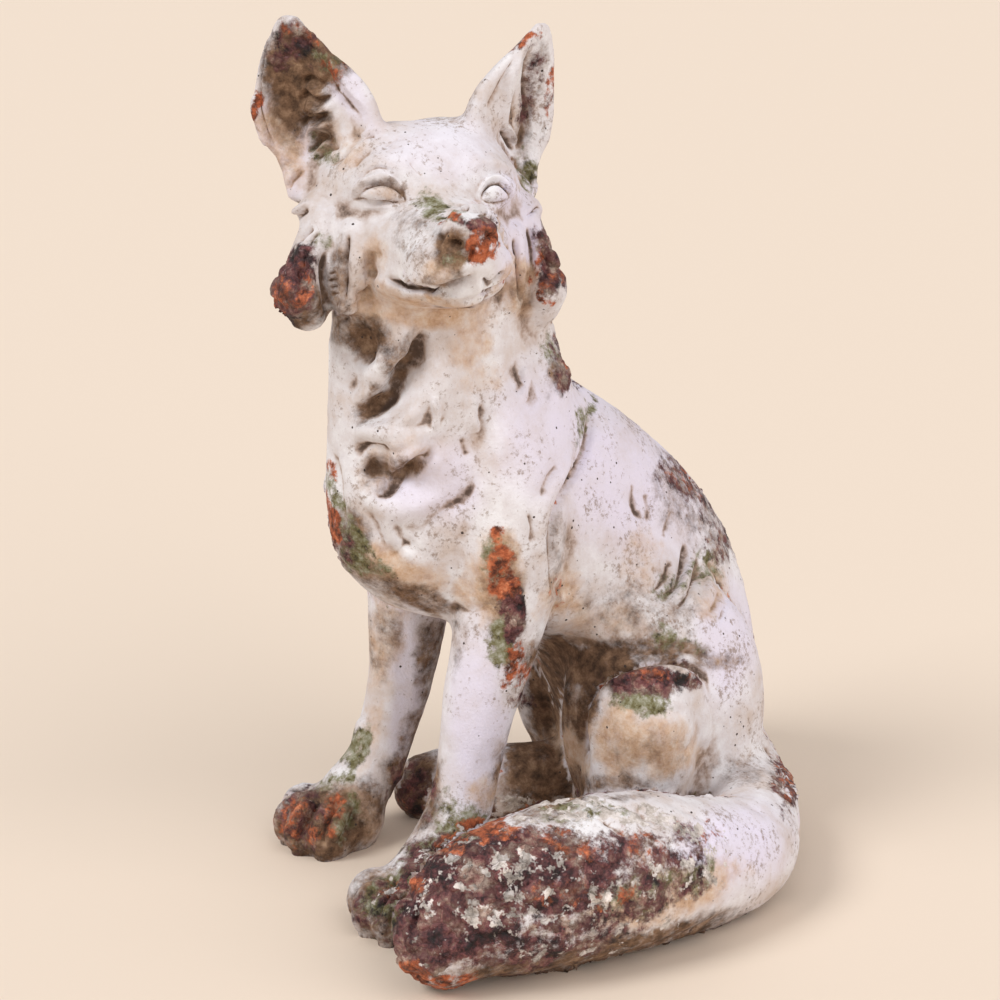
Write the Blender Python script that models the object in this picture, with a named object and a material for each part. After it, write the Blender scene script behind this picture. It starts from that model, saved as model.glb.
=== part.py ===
"""Seated fox, cast in one piece: it sits on its haunches with its head turned to its left and its
brush laid along its left side to the forepaws. Metres, +Z up, the fox faces -Y.

The figure is drawn in figure units, about 490 of them from the ground to the ear tips, and is
brought to its real height at the end, so pose, proportions and carving follow STATUE_HEIGHT.
"""
import bpy
import bmesh
import math
import numpy as np
from mathutils import Matrix, Vector

# Driving sizes
STATUE_HEIGHT = 0.50          # ground to the tip of the higher ear, in metres

# Lofting
RING_POINTS = 28              # points round each lofted ring
TRUNK_POINTS = 40             # points round a ring of the trunk
RINGS_PER_SPAN = 5            # rings between two stations of a loft
DOME_RINGS = 5                # rings that round off the end of a loft
BALL_RINGS = 12               # steps from pole to pole of a ball
HAIR_PAD = 0.15               # depth kept under the hair pad on the inner side of an ear

# Fusing and smoothing, in figure units
FUSE_CELL = 2.0               # cell in which the forms are fused to one body
FILL_PASSES = 46              # passes that fill the junctions between the forms
HIND_PASSES = 90              # further passes that blend the haunches and the nape
FILL_STEP = 0.5
RELAX_PASSES = 3              # passes that even the whole surface
FINAL_PASSES = 2              # passes after the carving
RELAX_STEP = 0.4
PAW_HEIGHT = 42               # the forepaws lie below this height
PAW_REACH = 50                # and ahead of this y
PAW_FILL = 0.3                # share of the fill between the toes
HEAD_FILL = 0.7               # share of the fill on neck and head
NECK_HEIGHT = 330
HIND_START = 90               # the haunches lie behind this y
BRUSH_SIDE = 118              # the brush lies beyond this x
NAPE_HEIGHTS = (280, 432)     # lowest and highest point of the nape

# Carving
STROKE_DEPTH = 22             # how far off its path a stroke still finds the skin
STROKE_FACING = 0.1           # least slant of the skin toward the way a stroke faces

# Facets
FIRST_FACETS = 24000          # even thinning, after which the face keeps its facets
FACET_COUNT = 9400            # triangles of the finished solid
FACE_DEPTH = -30              # the face lies ahead of this y in the frame of the head
FACE_BOX = (50, 50)           # half breadth and half height of the face
FACE_MIDDLE = -20
CUT_SNAP = 0.02               # height within which a point counts as on the ground

# Pose of the head, in figure units and degrees
HEAD_ORIGIN = (0.0, 33.0, 397.0)
HEAD_TURN = 65.0              # to the fox's left
HEAD_LIFT = 9.5               # nose up
HEAD_TILT = 2.9               # lean

# Trunk, from the neck to the rump: front line, back line and half width
TRUNK = (
    ((0, -12, 372), (0, 80, 396), 42),
    ((0, -18, 334), (0, 90, 352), 48),
    ((0, -20, 298), (2, 103, 318), 51),
    ((0, -23, 262), (4, 125, 285), 54),
    ((0, -27, 226), (8, 174, 250), 57),
    ((0, -20, 192), (14, 217, 212), 59),
    ((2, 10, 162), (20, 243, 176), 60),
    ((6, 60, 146), (28, 255, 138), 60),
    ((10, 104, 125), (34, 260, 100), 59),
    ((14, 128, 85), (36, 262, 62), 57),
    ((18, 140, 45), (36, 260, 30), 52),
    ((20, 152, -12), (34, 252, -12), 45),
)

# Limbs: x, y, z, half width and half depth at each station
NAPE = (
    (-6, 52, 410, 40, 28),
    (-3, 62, 378, 46, 32),
    (0, 70, 340, 47, 34),
    (0, 84, 306, 45, 32),
)
LEFT_FORELEG = (
    (30, 78, 292, 26, 34),
    (42, 62, 250, 31, 38),
    (50, 54, 205, 29, 34),
    (50, 50, 165, 25, 28),
    (50, 33, 114, 20.5, 22),
    (50, 25, 80, 18, 19),
    (51, 18, 57, 17.5, 18.5),
    (52, 4, 34, 20, 20),
    (55, -14, 20, 22, 19),
)
RIGHT_FORELEG = (
    (-30, 84, 288, 26, 34),
    (-42, 70, 245, 31, 38),
    (-50, 66, 195, 29, 33),
    (-50, 66, 150, 25, 26),
    (-50, 60, 100, 19.5, 21),
    (-50, 46, 60, 17, 18),
    (-51, 36, 42, 18, 18.5),
    (-52, 22, 28, 21, 19),
)
# The brush has its half height first
BRUSH = (
    (132, -72, 28.5, 27.5, 26),
    (138, -44, 41, 40, 36),
    (148, -4, 45, 44, 42),
    (161, 46, 43.5, 43, 43),
    (166, 90, 36, 37, 36),
    (163, 126, 31, 32, 31),
    (147, 152, 29, 29, 29),
    (118, 182, 29, 28, 29),
    (84, 206, 31, 28, 30),
    (48, 222, 36, 30, 34),
)
LEFT_SHANK = (
    (90, 124, 112, 21, 22),
    (91, 121, 96, 29, 30),
    (91, 118, 72, 32, 33),
    (88, 116, 40, 30, 31),
    (86, 116, 4, 28, 30),
)
LEFT_FOOT = (
    (84, 150, 16, 20, 20),
    (84, 110, 16, 20, 22),
    (80, 74, 13, 21, 19),
    (78, 56, 10, 20, 15),
)
RIGHT_SHANK = (
    (-44, 206, 118, 24, 26),
    (-50, 204, 84, 24, 26),
    (-44, 192, 48, 21, 23),
    (-34, 176, 22, 19, 20),
)
RIGHT_FOOT = (
    (-2, 158, 19, 19, 22),
    (-18, 124, 20, 21, 23),
    (-42, 96, 20, 22, 22),
    (-59, 78, 15, 22, 18),
)
# Haunches: middle and half sizes, turned with the pelvis
LEFT_HAUNCH = ((72, 157, 81), (41, 64, 86))
RIGHT_HAUNCH = ((-26, 203, 80), (42, 62, 82))
PELVIS_TURN = -18

# Forepaws: middle, turn, half width, half length and height
LEFT_PAW = ((61, -27, 0), 4, 32, 40, 38)
RIGHT_PAW = ((-57, 13, 0), -16, 32, 38, 38)
# Toes, as shares of the paw's half width across and half length ahead
TOES = ((-0.66, -0.30), (-0.24, -0.56), (0.24, -0.56), (0.66, -0.30))
TOE_SPREAD = 18               # turn of an outer toe, in degrees per share

# Head, in its own frame: -Y ahead, +X to the fox's left, origin between the roots of the ears
SKULL = (((0, 4, 0), (57, 54, 38)), ((0, -2, -30), (60, 48, 36)), ((0, 20, -26), (52, 40, 40)))
MUZZLE = ((0, -28, -22, 40, 31), (0, -58, -29, 31, 25), (0, -82, -32, 24, 22), (0, -93, -31, 19, 18))
NOSE = ((0, -97, -21), (15, 10, 12))
CHIN = ((0, -73, -52), (20, 22, 9))
JAW = ((0, -38, -47), (37, 40, 16))
# Left side of the head; the right side mirrors it
LIP = ((13, -80, -37), (16, 20, 13))
EYE = ((32, -37, 0.5), (14, 10, 8.5))
EYE_TURN = 20
TEMPLE_TUFT = ((52, -4, -5, 6, 9), (63, -4, -9, 5, 7), (68, -4, -12.5, 3, 4))
RUFF = ((56, -8, -14, 8, 15), (62, -9, -36, 12, 16), (66, -9, -56, 16, 17))
RUFF_DOME = 0.9
INNER_RUFF = ((44, -24, -22, 8, 12), (46, -24, -44, 8, 11), (46, -22, -62, 7, 9))
# Ear: x, y, z, half width, cup depth and share of the hollow
EAR = (
    (57, 0, -9, 18, 14, 0.6),
    (52, 1, 12, 28, 19, 0.85),
    (53, 1, 30, 34, 19, 0.9),
    (61, 2, 50, 31, 16, 1.0),
    (67.5, 2, 68, 21, 12, 1.0),
    (70, 1, 81, 13, 8, 0.9),
    (70.5, -1, 92, 6, 4.5, 0.6),
)
EAR_OPENING = (0.65, -1, 0.05)
EAR_WALL = 6.5

# Carving: height of the stroke (below nought it cuts), half width, way it faces, path
BODY_STROKES = (
    # Long fold from the left of the throat down across the chest, and the ridge beside it
    (-8, 9, (0.65, -0.75, 0.06), ((41, 6, 329), (39, 3, 313), (33, -6, 300), (23, -15, 288), (8, -20, 283))),
    (5, 9, (0.85, -0.53, 0.05), ((46, 15, 326), (45, 12, 307), (41, 4, 290), (32, -8, 277))),
    # Deep hollow in the chest hair, with a ridge above it and one below
    (-8, 10, (0.66, -0.75, 0.07), ((16, -20, 260), (27, -15, 249), (34, -8, 251), (42, 2, 241))),
    (5, 8, (0.70, -0.71, 0.05), ((8, -20, 271), (28, -12, 266), (39, -1, 260), (48, 11, 253))),
    (4, 8, (0.70, -0.71, 0.05), ((12, -20, 240), (26, -14, 232), (40, 2, 231), (50, 14, 236))),
    # Crease from the left shoulder to the lower chest
    (-5, 6, (0.80, -0.59, -0.02), ((54, 23, 246), (48, 13, 235), (39, -1, 224), (32, -9, 210))),
    # Short grooves between the locks of the neck
    (-3.5, 5, (0.83, -0.56, 0.04), ((40, 2, 291), (41, 3, 276))),
    (-4, 5, (0.92, -0.38, 0.12), ((53, 33, 290), (55, 30, 265))),
    (-3, 5, (0.94, -0.07, 0.34), ((52, 57, 306), (56, 57, 290))),
    (-3, 5, (0.88, -0.12, 0.46), ((56, 64, 297), (63, 61, 279))),
    # Groove down the front of the throat
    (-5, 7, (0.14, -0.99, 0.06), ((11, -17, 325), (3, -19, 306), (5, -20, 289))),
    # Crease behind the left shoulder and elbow
    (-4.5, 7, (0.95, 0.23, 0.20), ((40, 126, 272), (53, 112, 257), (60, 99, 241), (75, 70, 229),
                                 (78, 59, 209), (77, 59, 185))),
    # Grooves of the flank above the left haunch
    (-3, 6, (0.81, -0.18, 0.55), ((70, 153, 175), (81, 150, 163), (93, 149, 150))),
    (-3, 6, (0.87, 0.11, 0.48), ((68, 188, 167), (91, 172, 158), (102, 176, 141))),
    (-3, 6, (0.96, 0.12, 0.24), ((62, 137, 216), (64, 143, 206), (65, 150, 199))),
)
# The side turned away from the viewer, carved more plainly
BACK_STROKES = (
    (-3.5, 6, (-0.95, 0.23, 0.20), ((-42, 122, 269), (-53, 112, 257), (-60, 99, 241), (-75, 74, 229),
                                  (-78, 66, 209), (-77, 66, 189))),
    (-3, 5, (-0.85, 0.1, 0.5), ((-44, 168, 200), (-50, 172, 180), (-56, 178, 160))),
    (-3, 5, (-0.85, 0.1, 0.5), ((-30, 205, 185), (-38, 212, 168), (-44, 216, 148))),
)
# Left side of the face, in the frame of the head; the right side mirrors it
FACE_STROKES = (
    # Line over the eye and line under it
    (-3, 4, (0.4, -1, 0.1), ((17, -45, -2), (23, -45, 6), (32, -43, 9), (41, -39, 6), (47, -34, -1))),
    (-1.5, 4, (0.4, -1, -0.1), ((18, -46, -3), (26, -45, -9), (34, -43, -9.5), (43, -38, -5))),
    # Upper lid and brow
    (3.5, 3, (0.4, -1, 0.1), ((17, -45, 1), (23, -45, 8), (32, -43, 11.5), (41, -39, 8.5), (48, -34, 0))),
    (2.5, 6, (0.4, -1, 0.4), ((16, -46, 14), (28, -44, 18), (41, -34, 15))),
    # Mouth, from its corner to the front of the lips
    (-6, 3.6, (0.5, -1, -0.2), ((32, -56, -45), (24, -70, -51), (12, -84, -54), (0, -90, -53))),
    # Cheek fold behind the corner of the mouth
    (3, 5, (0.7, -1, 0), ((35, -54, -42), (39, -46, -30), (36, -40, -18))),
    # Grooves on both sides of the inner ruff
    (-3, 4, (0.6, -1, 0), ((54, -22, -20), (55, -22, -45), (54, -20, -68))),
    (-3, 4, (0.5, -1, 0), ((38, -36, -24), (37, -34, -45), (40, -28, -62))),
    # Underside and wing of the nose
    (-3.5, 3.5, (0.3, -1, -0.3), ((0, -104, -33), (9, -101, -31), (16, -95, -24))),
)


def curve_through(rows, steps):
    """Points of a smooth curve through the rows, Catmull-Rom in every column."""
    rows = np.asarray(rows, float)
    ends = np.vstack([2 * rows[0] - rows[1], rows, 2 * rows[-1] - rows[-2]])
    out = []
    for i in range(1, len(ends) - 2):
        p0, p1, p2, p3 = ends[i - 1], ends[i], ends[i + 1], ends[i + 2]
        for k in range(steps):
            t = k / steps
            out.append(0.5 * ((2 * p1) + (p2 - p0) * t + (2 * p0 - 5 * p1 + 4 * p2 - p3) * t * t
                              + (3 * p1 - p0 - 3 * p2 + p3) * t ** 3))
    out.append(rows[-1])
    return np.array(out)


def unit(v):
    v = np.asarray(v, float)
    return v / max(np.linalg.norm(v), 1e-9)


def turned(yaw, lift=0.0, tilt=0.0):
    """Rotation that turns -Y to the left by yaw, lifts it and tilts it, all in degrees."""
    z, x, y = math.radians(yaw), math.radians(-lift), math.radians(tilt)
    m = Matrix.Rotation(z, 3, 'Z') @ Matrix.Rotation(x, 3, 'X') @ Matrix.Rotation(y, 3, 'Y')
    return np.array(m)


def mirrored(row, side):
    """The row with its x on the given side of the head."""
    return (row[0] * side,) + tuple(row[1:])


class Clay:
    """Closed forms gathered in one mesh before they are fused."""

    def __init__(self):
        self.verts = []
        self.faces = []
        self.turn = np.eye(3)
        self.shift = np.zeros(3)

    def place(self, turn, shift):
        """Frame in which the next forms are drawn."""
        self.turn = np.asarray(turn, float)
        self.shift = np.asarray(shift, float)

    def rings(self, rings):
        """Skin over rings of equal length, closed by a point at both ends."""
        count = len(rings[0])
        verts = [p for ring in rings for p in ring]
        faces = []
        for r in range(len(rings) - 1):
            for k in range(count):
                a = r * count + k
                b = r * count + (k + 1) % count
                faces.append((a, b, b + count, a + count))
        first = len(verts)
        verts.append(np.mean(rings[0], axis=0))
        verts.append(np.mean(rings[-1], axis=0))
        last = (len(rings) - 1) * count
        for k in range(count):
            faces.append((first, (k + 1) % count, k))
            faces.append((first + 1, last + k, last + (k + 1) % count))
        base = len(self.verts)
        placed = np.asarray(verts) @ self.turn.T + self.shift
        self.verts.extend(placed.tolist())
        self.faces.extend([tuple(i + base for i in f) for f in faces])

    def limb(self, stations, side=(1, 0, 0), dome=0.8):
        """Loft along stations of x, y, z, half width along the side and half depth."""
        rows = curve_through(stations, RINGS_PER_SPAN)
        tangents = np.gradient(rows[:, :3], axis=0)
        angles = np.linspace(0, 2 * math.pi, RING_POINTS, endpoint=False)

        def ring(mid, across, deep, scale=1.0):
            return [mid + scale * (math.cos(t) * across + math.sin(t) * deep) for t in angles]

        body = []
        caps = []
        for i, (row, tangent) in enumerate(zip(rows, tangents)):
            along = unit(tangent)
            across = unit(np.asarray(side, float) - np.dot(side, along) * along)
            deep = np.cross(along, across) * row[4]
            across = across * row[3]
            body.append(ring(row[:3], across, deep))
            if i not in (0, len(rows) - 1):
                continue
            cap = []
            push = along * dome * min(row[3], row[4])
            for k in range(1, DOME_RINGS + 1):
                lean = 0.5 * math.pi * k / (DOME_RINGS + 0.4)
                way = math.sin(lean) if i else -math.sin(lean)
                cap.append(ring(row[:3] + push * way, across, deep, math.cos(lean)))
            caps.append(cap)
        self.rings(caps[0][::-1] + body + caps[1])

    def trunk(self, stations):
        """Loft between a front line and a back line, each station with its half width."""
        rows = curve_through([front + back + (width,) for front, back, width in stations],
                             RINGS_PER_SPAN)
        angles = np.linspace(0, 2 * math.pi, TRUNK_POINTS, endpoint=False)
        rings = []
        for row in rows:
            front, back, width = row[:3], row[3:6], row[6]
            mid = (front + back) / 2
            deep = (front - back) / 2
            across = unit(np.cross(deep, (0, 0, 1))) * width
            rings.append([mid + math.cos(t) * across + math.sin(t) * deep for t in angles])
        self.rings(rings)

    def ball(self, mid, radii, yaw=0.0):
        """Ellipsoid, turned by yaw."""
        turn = turned(yaw)
        rings = []
        for k in range(1, BALL_RINGS):
            lean = math.pi * k / BALL_RINGS
            ring = []
            for t in np.linspace(0, 2 * math.pi, RING_POINTS, endpoint=False):
                p = (math.sin(lean) * math.cos(t), math.sin(lean) * math.sin(t), -math.cos(lean))
                ring.append(turn @ (np.asarray(radii) * p) + np.asarray(mid))
            rings.append(ring)
        self.rings(rings)

    def ear(self, stations, side):
        """Cupped leaf: the back is a half ring, the inside a smaller one with a pad of hair."""
        rows = curve_through(stations, RINGS_PER_SPAN + 2)
        tangents = np.gradient(rows[:, :3], axis=0)
        sweep = np.linspace(0, math.pi, RING_POINTS)
        opening = np.array(mirrored(EAR_OPENING, side))
        rings = []
        for row, tangent in zip(rows, tangents):
            mid, width, depth, hollow = row[:3], row[3], row[4], row[5]
            along = unit(tangent)
            face = unit(opening - np.dot(opening, along) * along)
            across = np.cross(along, face) * side
            inner_width = max(width - EAR_WALL, 0.3 * width)
            inner_depth = max(depth - EAR_WALL, 0.2 * depth) * hollow
            ring = [mid + across * width * math.cos(t) - face * depth * math.sin(t) for t in sweep]
            for t in sweep[::-1]:
                pad = HAIR_PAD + (1 - HAIR_PAD) / (1 + math.exp(-5 * (math.cos(t) + 0.25)))
                ring.append(mid + across * inner_width * math.cos(t)
                            + face * (0.4 * EAR_WALL - inner_depth * math.sin(t) * pad))
            rings.append(ring)
        self.rings(rings)


def paw(clay, mid, turn, width, length, height):
    """Forepaw with four toes, drawn toward -Y from its middle."""
    clay.place(turned(turn), mid)
    clay.ball((0, 6, height * 0.42), (width * 0.82, length * 0.62, height * 0.62))
    for across, ahead in TOES:
        clay.ball((across * width, ahead * length, height * 0.36),
                  (width * 0.30, length * 0.40, height * 0.46), yaw=across * TOE_SPREAD)
    clay.place(np.eye(3), np.zeros(3))


def build_body(clay):
    clay.trunk(TRUNK)
    for limb in (NAPE, LEFT_FORELEG, RIGHT_FORELEG, LEFT_SHANK, LEFT_FOOT, RIGHT_SHANK, RIGHT_FOOT):
        clay.limb(limb)
    clay.limb(BRUSH, side=(0, 0, 1))
    clay.ball(*LEFT_HAUNCH, yaw=PELVIS_TURN)
    clay.ball(*RIGHT_HAUNCH, yaw=PELVIS_TURN)
    paw(clay, *LEFT_PAW)
    paw(clay, *RIGHT_PAW)


def build_head(clay):
    clay.place(turned(HEAD_TURN, HEAD_LIFT, HEAD_TILT), HEAD_ORIGIN)
    for mid, radii in SKULL + (NOSE, CHIN, JAW):
        clay.ball(mid, radii)
    clay.limb(MUZZLE)
    for side in (-1, 1):
        clay.ball(mirrored(LIP[0], side), LIP[1])
        clay.ball(mirrored(EYE[0], side), EYE[1], yaw=side * EYE_TURN)
        clay.limb([mirrored(row, side) for row in TEMPLE_TUFT])
        clay.limb([mirrored(row, side) for row in RUFF], dome=RUFF_DOME)
        clay.limb([mirrored(row, side) for row in INNER_RUFF])
        clay.ear([mirrored(row, side) for row in EAR], side)
    clay.place(np.eye(3), np.zeros(3))


def neighbour_mean(co, edges):
    count = len(co)
    a, b = edges[:, 0], edges[:, 1]
    degree = np.bincount(a, minlength=count) + np.bincount(b, minlength=count)
    out = np.empty_like(co)
    for axis in range(3):
        out[:, axis] = np.bincount(a, co[b, axis], count) + np.bincount(b, co[a, axis], count)
    return out / degree[:, None]


def vertex_normals(co, quads):
    face = np.cross(co[quads[:, 2]] - co[quads[:, 0]], co[quads[:, 3]] - co[quads[:, 1]])
    out = np.zeros_like(co)
    for axis in range(3):
        for corner in range(4):
            out[:, axis] += np.bincount(quads[:, corner], face[:, axis], len(co))
    return out / np.maximum(np.linalg.norm(out, axis=1), 1e-12)[:, None]


def fill_junctions(co, edges, quads, passes, share):
    """Raises hollows toward their neighbours, so that junctions fillet and crowns stay."""
    for _ in range(round(passes)):
        move = neighbour_mean(co, edges) - co
        out = np.einsum('ij,ij->i', move, vertex_normals(co, quads))
        co = co + move * (FILL_STEP * share * (out > 0))[:, None]
    return co


def relax(co, edges, passes):
    for _ in range(round(passes)):
        co = co + RELAX_STEP * (neighbour_mean(co, edges) - co)
    return co


def in_head(co):
    """The points in the frame of the head."""
    return (co - HEAD_ORIGIN) @ turned(HEAD_TURN, HEAD_LIFT, HEAD_TILT)


def carve(co, normals, stroke):
    """Cuts or raises the skin beside a path, square to the way that the stroke faces."""
    height, width, facing, path = stroke
    face = unit(facing)
    line = curve_through(path, 5)
    low, high = line.min(axis=0) - STROKE_DEPTH, line.max(axis=0) + STROKE_DEPTH
    near = np.all((co > low) & (co < high), axis=1) & (normals @ face > STROKE_FACING)
    index = np.nonzero(near)[0]
    if len(index) == 0:
        return co
    points = co[index]
    best = np.full(len(index), 1e9)
    share = np.zeros(len(index))
    for k in range(len(line) - 1):
        step = line[k + 1] - line[k]
        rise = np.dot(step, face)
        step = step - rise * face
        gap = points - line[k]
        above = gap @ face
        flat = gap - above[:, None] * face
        t = np.clip(flat @ step / max(step @ step, 1e-9), 0, 1)
        off = np.linalg.norm(flat - t[:, None] * step, axis=1)
        off = np.where(np.abs(above - t * rise) > STROKE_DEPTH, 1e9, off)
        closer = off < best
        best = np.where(closer, off, best)
        share = np.where(closer, (k + t) / (len(line) - 1), share)
    taper = np.clip(np.minimum(share, 1 - share) * 4 + 0.25, 0, 1)
    co = co.copy()
    co[index] += normals[index] * (height * taper * np.exp(-(best / width) ** 2))[:, None]
    return co


def carve_all(co, quads):
    turn = turned(HEAD_TURN, HEAD_LIFT, HEAD_TILT)
    strokes = list(BODY_STROKES + BACK_STROKES)
    for height, width, facing, path in FACE_STROKES:
        for side in (-1, 1):
            placed = np.array([mirrored(point, side) for point in path]) @ turn.T + HEAD_ORIGIN
            strokes.append((height, width, turn @ np.array(mirrored(facing, side)), placed))
    for stroke in strokes:
        co = carve(co, vertex_normals(co, quads), stroke)
    return co


def fused(clay):
    """One skin round all the forms: vertices, edges and quads in figure units."""
    mesh = bpy.data.meshes.new("clay")
    mesh.from_pydata([tuple(v) for v in clay.verts], [], clay.faces)
    mesh.update()
    body = bpy.data.objects.new("clay", mesh)
    bpy.context.collection.objects.link(body)
    fuse = body.modifiers.new("Fuse", 'REMESH')
    fuse.mode = 'VOXEL'
    fuse.voxel_size = FUSE_CELL
    fuse.adaptivity = 0.0
    seen = body.evaluated_get(bpy.context.evaluated_depsgraph_get())
    skin = seen.to_mesh()
    co = np.empty(len(skin.vertices) * 3)
    skin.vertices.foreach_get("co", co)
    co = co.reshape(-1, 3)
    edges = np.empty(len(skin.edges) * 2, int)
    skin.edges.foreach_get("vertices", edges)
    quads = np.empty(len(skin.loops), int)
    skin.loops.foreach_get("vertex_index", quads)
    quads = quads.reshape(-1, 4)
    seen.to_mesh_clear()
    bpy.data.objects.remove(body, do_unlink=True)
    bpy.data.meshes.remove(mesh)
    if np.einsum('ij,ij->i', co - co.mean(axis=0), vertex_normals(co, quads)).mean() < 0:
        quads = quads[:, ::-1].copy()
    return co, edges.reshape(-1, 2), quads


def smoothed(co, edges, quads):
    """Fillets the junctions: little between the toes, most on the haunches and the nape."""
    share = np.ones(len(co))
    share[(co[:, 2] < PAW_HEIGHT) & (co[:, 1] < PAW_REACH)] = PAW_FILL
    share[co[:, 2] > NECK_HEIGHT] = HEAD_FILL
    co = fill_junctions(co, edges, quads, FILL_PASSES, share)
    hind = np.clip((co[:, 1] - HIND_START) / 30, 0, 1) * (co[:, 0] < BRUSH_SIDE)
    at_nape = (co[:, 2] > NAPE_HEIGHTS[0]) * (co[:, 2] < NAPE_HEIGHTS[1])
    nape = np.clip(in_head(co)[:, 1] / 20, 0, 1) * at_nape
    co = fill_junctions(co, edges, quads, HIND_PASSES, np.maximum(hind, nape))
    return relax(co, edges, RELAX_PASSES)


def thinned(co, quads):
    """Skin thinned evenly, and then again everywhere but on the face."""
    mesh = bpy.data.meshes.new("skin")
    mesh.from_pydata(co.tolist(), [], quads.tolist())
    skin = bpy.data.objects.new("skin", mesh)
    bpy.context.collection.objects.link(skin)
    fine = skin.vertex_groups.new(name="face")
    local = in_head(co)
    face = (local[:, 1] < FACE_DEPTH) & (abs(local[:, 0]) < FACE_BOX[0])
    face &= abs(local[:, 2] - FACE_MIDDLE) < FACE_BOX[1]
    fine.add(np.nonzero(face)[0].tolist(), 1.0, 'REPLACE')
    first = skin.modifiers.new("Even facets", 'DECIMATE')
    first.ratio = FIRST_FACETS / (2 * len(quads))
    second = skin.modifiers.new("Facets", 'DECIMATE')
    second.ratio = FACET_COUNT / FIRST_FACETS
    second.vertex_group = fine.name
    second.invert_vertex_group = True
    bm = bmesh.new()
    bm.from_object(skin, bpy.context.evaluated_depsgraph_get())
    bpy.data.objects.remove(skin, do_unlink=True)
    bpy.data.meshes.remove(mesh)
    return bm


def set_on_ground(bm):
    """Cuts the feet, the rump and the brush flat at nought and closes the cuts."""
    bmesh.ops.bisect_plane(bm, geom=bm.verts[:] + bm.edges[:] + bm.faces[:], dist=CUT_SNAP,
                           plane_co=(0, 0, 0), plane_no=(0, 0, 1), clear_inner=True)
    for v in bm.verts:
        if v.co.z < CUT_SNAP:
            v.co.z = 0.0
    rim = [e for e in bm.edges if e.is_boundary]
    bmesh.ops.triangle_fill(bm, edges=rim, use_beauty=True, use_dissolve=False)
    bmesh.ops.triangulate(bm, faces=bm.faces[:])
    bmesh.ops.recalc_face_normals(bm, faces=bm.faces[:])
    for face in bm.faces:
        face.smooth = any(v.co.z > 0 for v in face.verts)


def scaled(bm):
    """Brings the figure to its height, with the middle of its base on the origin."""
    low = [min(v.co[i] for v in bm.verts) for i in range(3)]
    high = [max(v.co[i] for v in bm.verts) for i in range(3)]
    size = STATUE_HEIGHT / high[2]
    middle = Vector(((low[0] + high[0]) / 2, (low[1] + high[1]) / 2, 0))
    for v in bm.verts:
        v.co = (v.co - middle) * size
    return middle, high[2]


def fired_clay():
    """Weathered limewash over red clay, as one even colour."""
    material = bpy.data.materials.new("limewashed fired clay")
    material.use_nodes = True
    shader = material.node_tree.nodes["Principled BSDF"]
    shader.inputs["Base Color"].default_value = (0.62, 0.56, 0.52, 1)
    shader.inputs["Roughness"].default_value = 0.85
    shader.inputs["Metallic"].default_value = 0.0
    return material


def build():
    for old in list(bpy.data.objects):
        bpy.data.objects.remove(old, do_unlink=True)
    clay = Clay()
    build_body(clay)
    build_head(clay)
    co, edges, quads = fused(clay)
    co = smoothed(co, edges, quads)
    co = carve_all(co, quads)
    co = relax(co, edges, FINAL_PASSES)
    bm = thinned(co, quads)
    set_on_ground(bm)
    middle, top = scaled(bm)
    mesh = bpy.data.meshes.new("fox")
    bm.to_mesh(mesh)
    bm.free()
    mesh.materials.append(fired_clay())
    body = bpy.data.objects.new("fox", mesh)
    bpy.context.collection.objects.link(body)
    return body, middle, top


fox, MIDDLE, TOP = build()
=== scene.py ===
"""Dressed model of the seated fox: the fine carving, the worn limewash and the growth on it."""

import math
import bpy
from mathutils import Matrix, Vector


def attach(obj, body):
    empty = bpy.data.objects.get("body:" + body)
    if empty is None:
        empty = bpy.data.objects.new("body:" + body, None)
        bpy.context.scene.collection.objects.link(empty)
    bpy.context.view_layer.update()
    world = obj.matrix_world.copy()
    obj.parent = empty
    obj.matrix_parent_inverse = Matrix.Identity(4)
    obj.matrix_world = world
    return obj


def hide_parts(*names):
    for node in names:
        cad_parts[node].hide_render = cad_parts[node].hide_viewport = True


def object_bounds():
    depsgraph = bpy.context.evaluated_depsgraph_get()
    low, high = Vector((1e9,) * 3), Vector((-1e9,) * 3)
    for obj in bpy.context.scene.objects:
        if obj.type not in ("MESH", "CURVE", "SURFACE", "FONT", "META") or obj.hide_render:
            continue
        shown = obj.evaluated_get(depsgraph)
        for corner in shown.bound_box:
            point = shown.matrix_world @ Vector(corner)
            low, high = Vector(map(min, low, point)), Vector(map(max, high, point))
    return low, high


bl_info = {
    "name": "Seated Fox Statue",
    "version": (1, 0, 0),
    "blender": (4, 5, 0),
    "location": "View3D > Sidebar > Fox",
    "description": "Carves and weathers a seated fox cast in one piece",
    "category": "Object",
}

import bmesh
import bpy
import numpy as np
from mathutils import Vector

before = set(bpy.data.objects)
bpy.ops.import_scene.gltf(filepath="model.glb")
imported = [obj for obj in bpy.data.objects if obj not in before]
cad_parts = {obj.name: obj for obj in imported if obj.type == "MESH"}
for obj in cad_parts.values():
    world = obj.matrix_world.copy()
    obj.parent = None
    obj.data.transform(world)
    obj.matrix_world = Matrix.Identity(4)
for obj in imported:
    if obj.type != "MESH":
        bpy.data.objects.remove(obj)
CAD_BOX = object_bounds()
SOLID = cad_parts["fox"]

# Figure units: the figure is drawn about 491 units high and set with its base's middle on the origin
FIGURE_TOP = 491.04
FIGURE_MIDDLE = np.array((56.46, 84.42, 0.0))
UNIT = (CAD_BOX[1][2] - CAD_BOX[0][2]) / FIGURE_TOP

# The front left view in which the carving is laid out, a square of 1000 parts seen from a little above
VIEW_TURN = 48.0
VIEW_RISE = 17.0
VIEW_DISTANCE = 1530.0
VIEW_TARGET = (103.0, 0.0, 250.0)
VIEW_FOCUS = 2907.0
SENSOR_MM = 36.0


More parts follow.
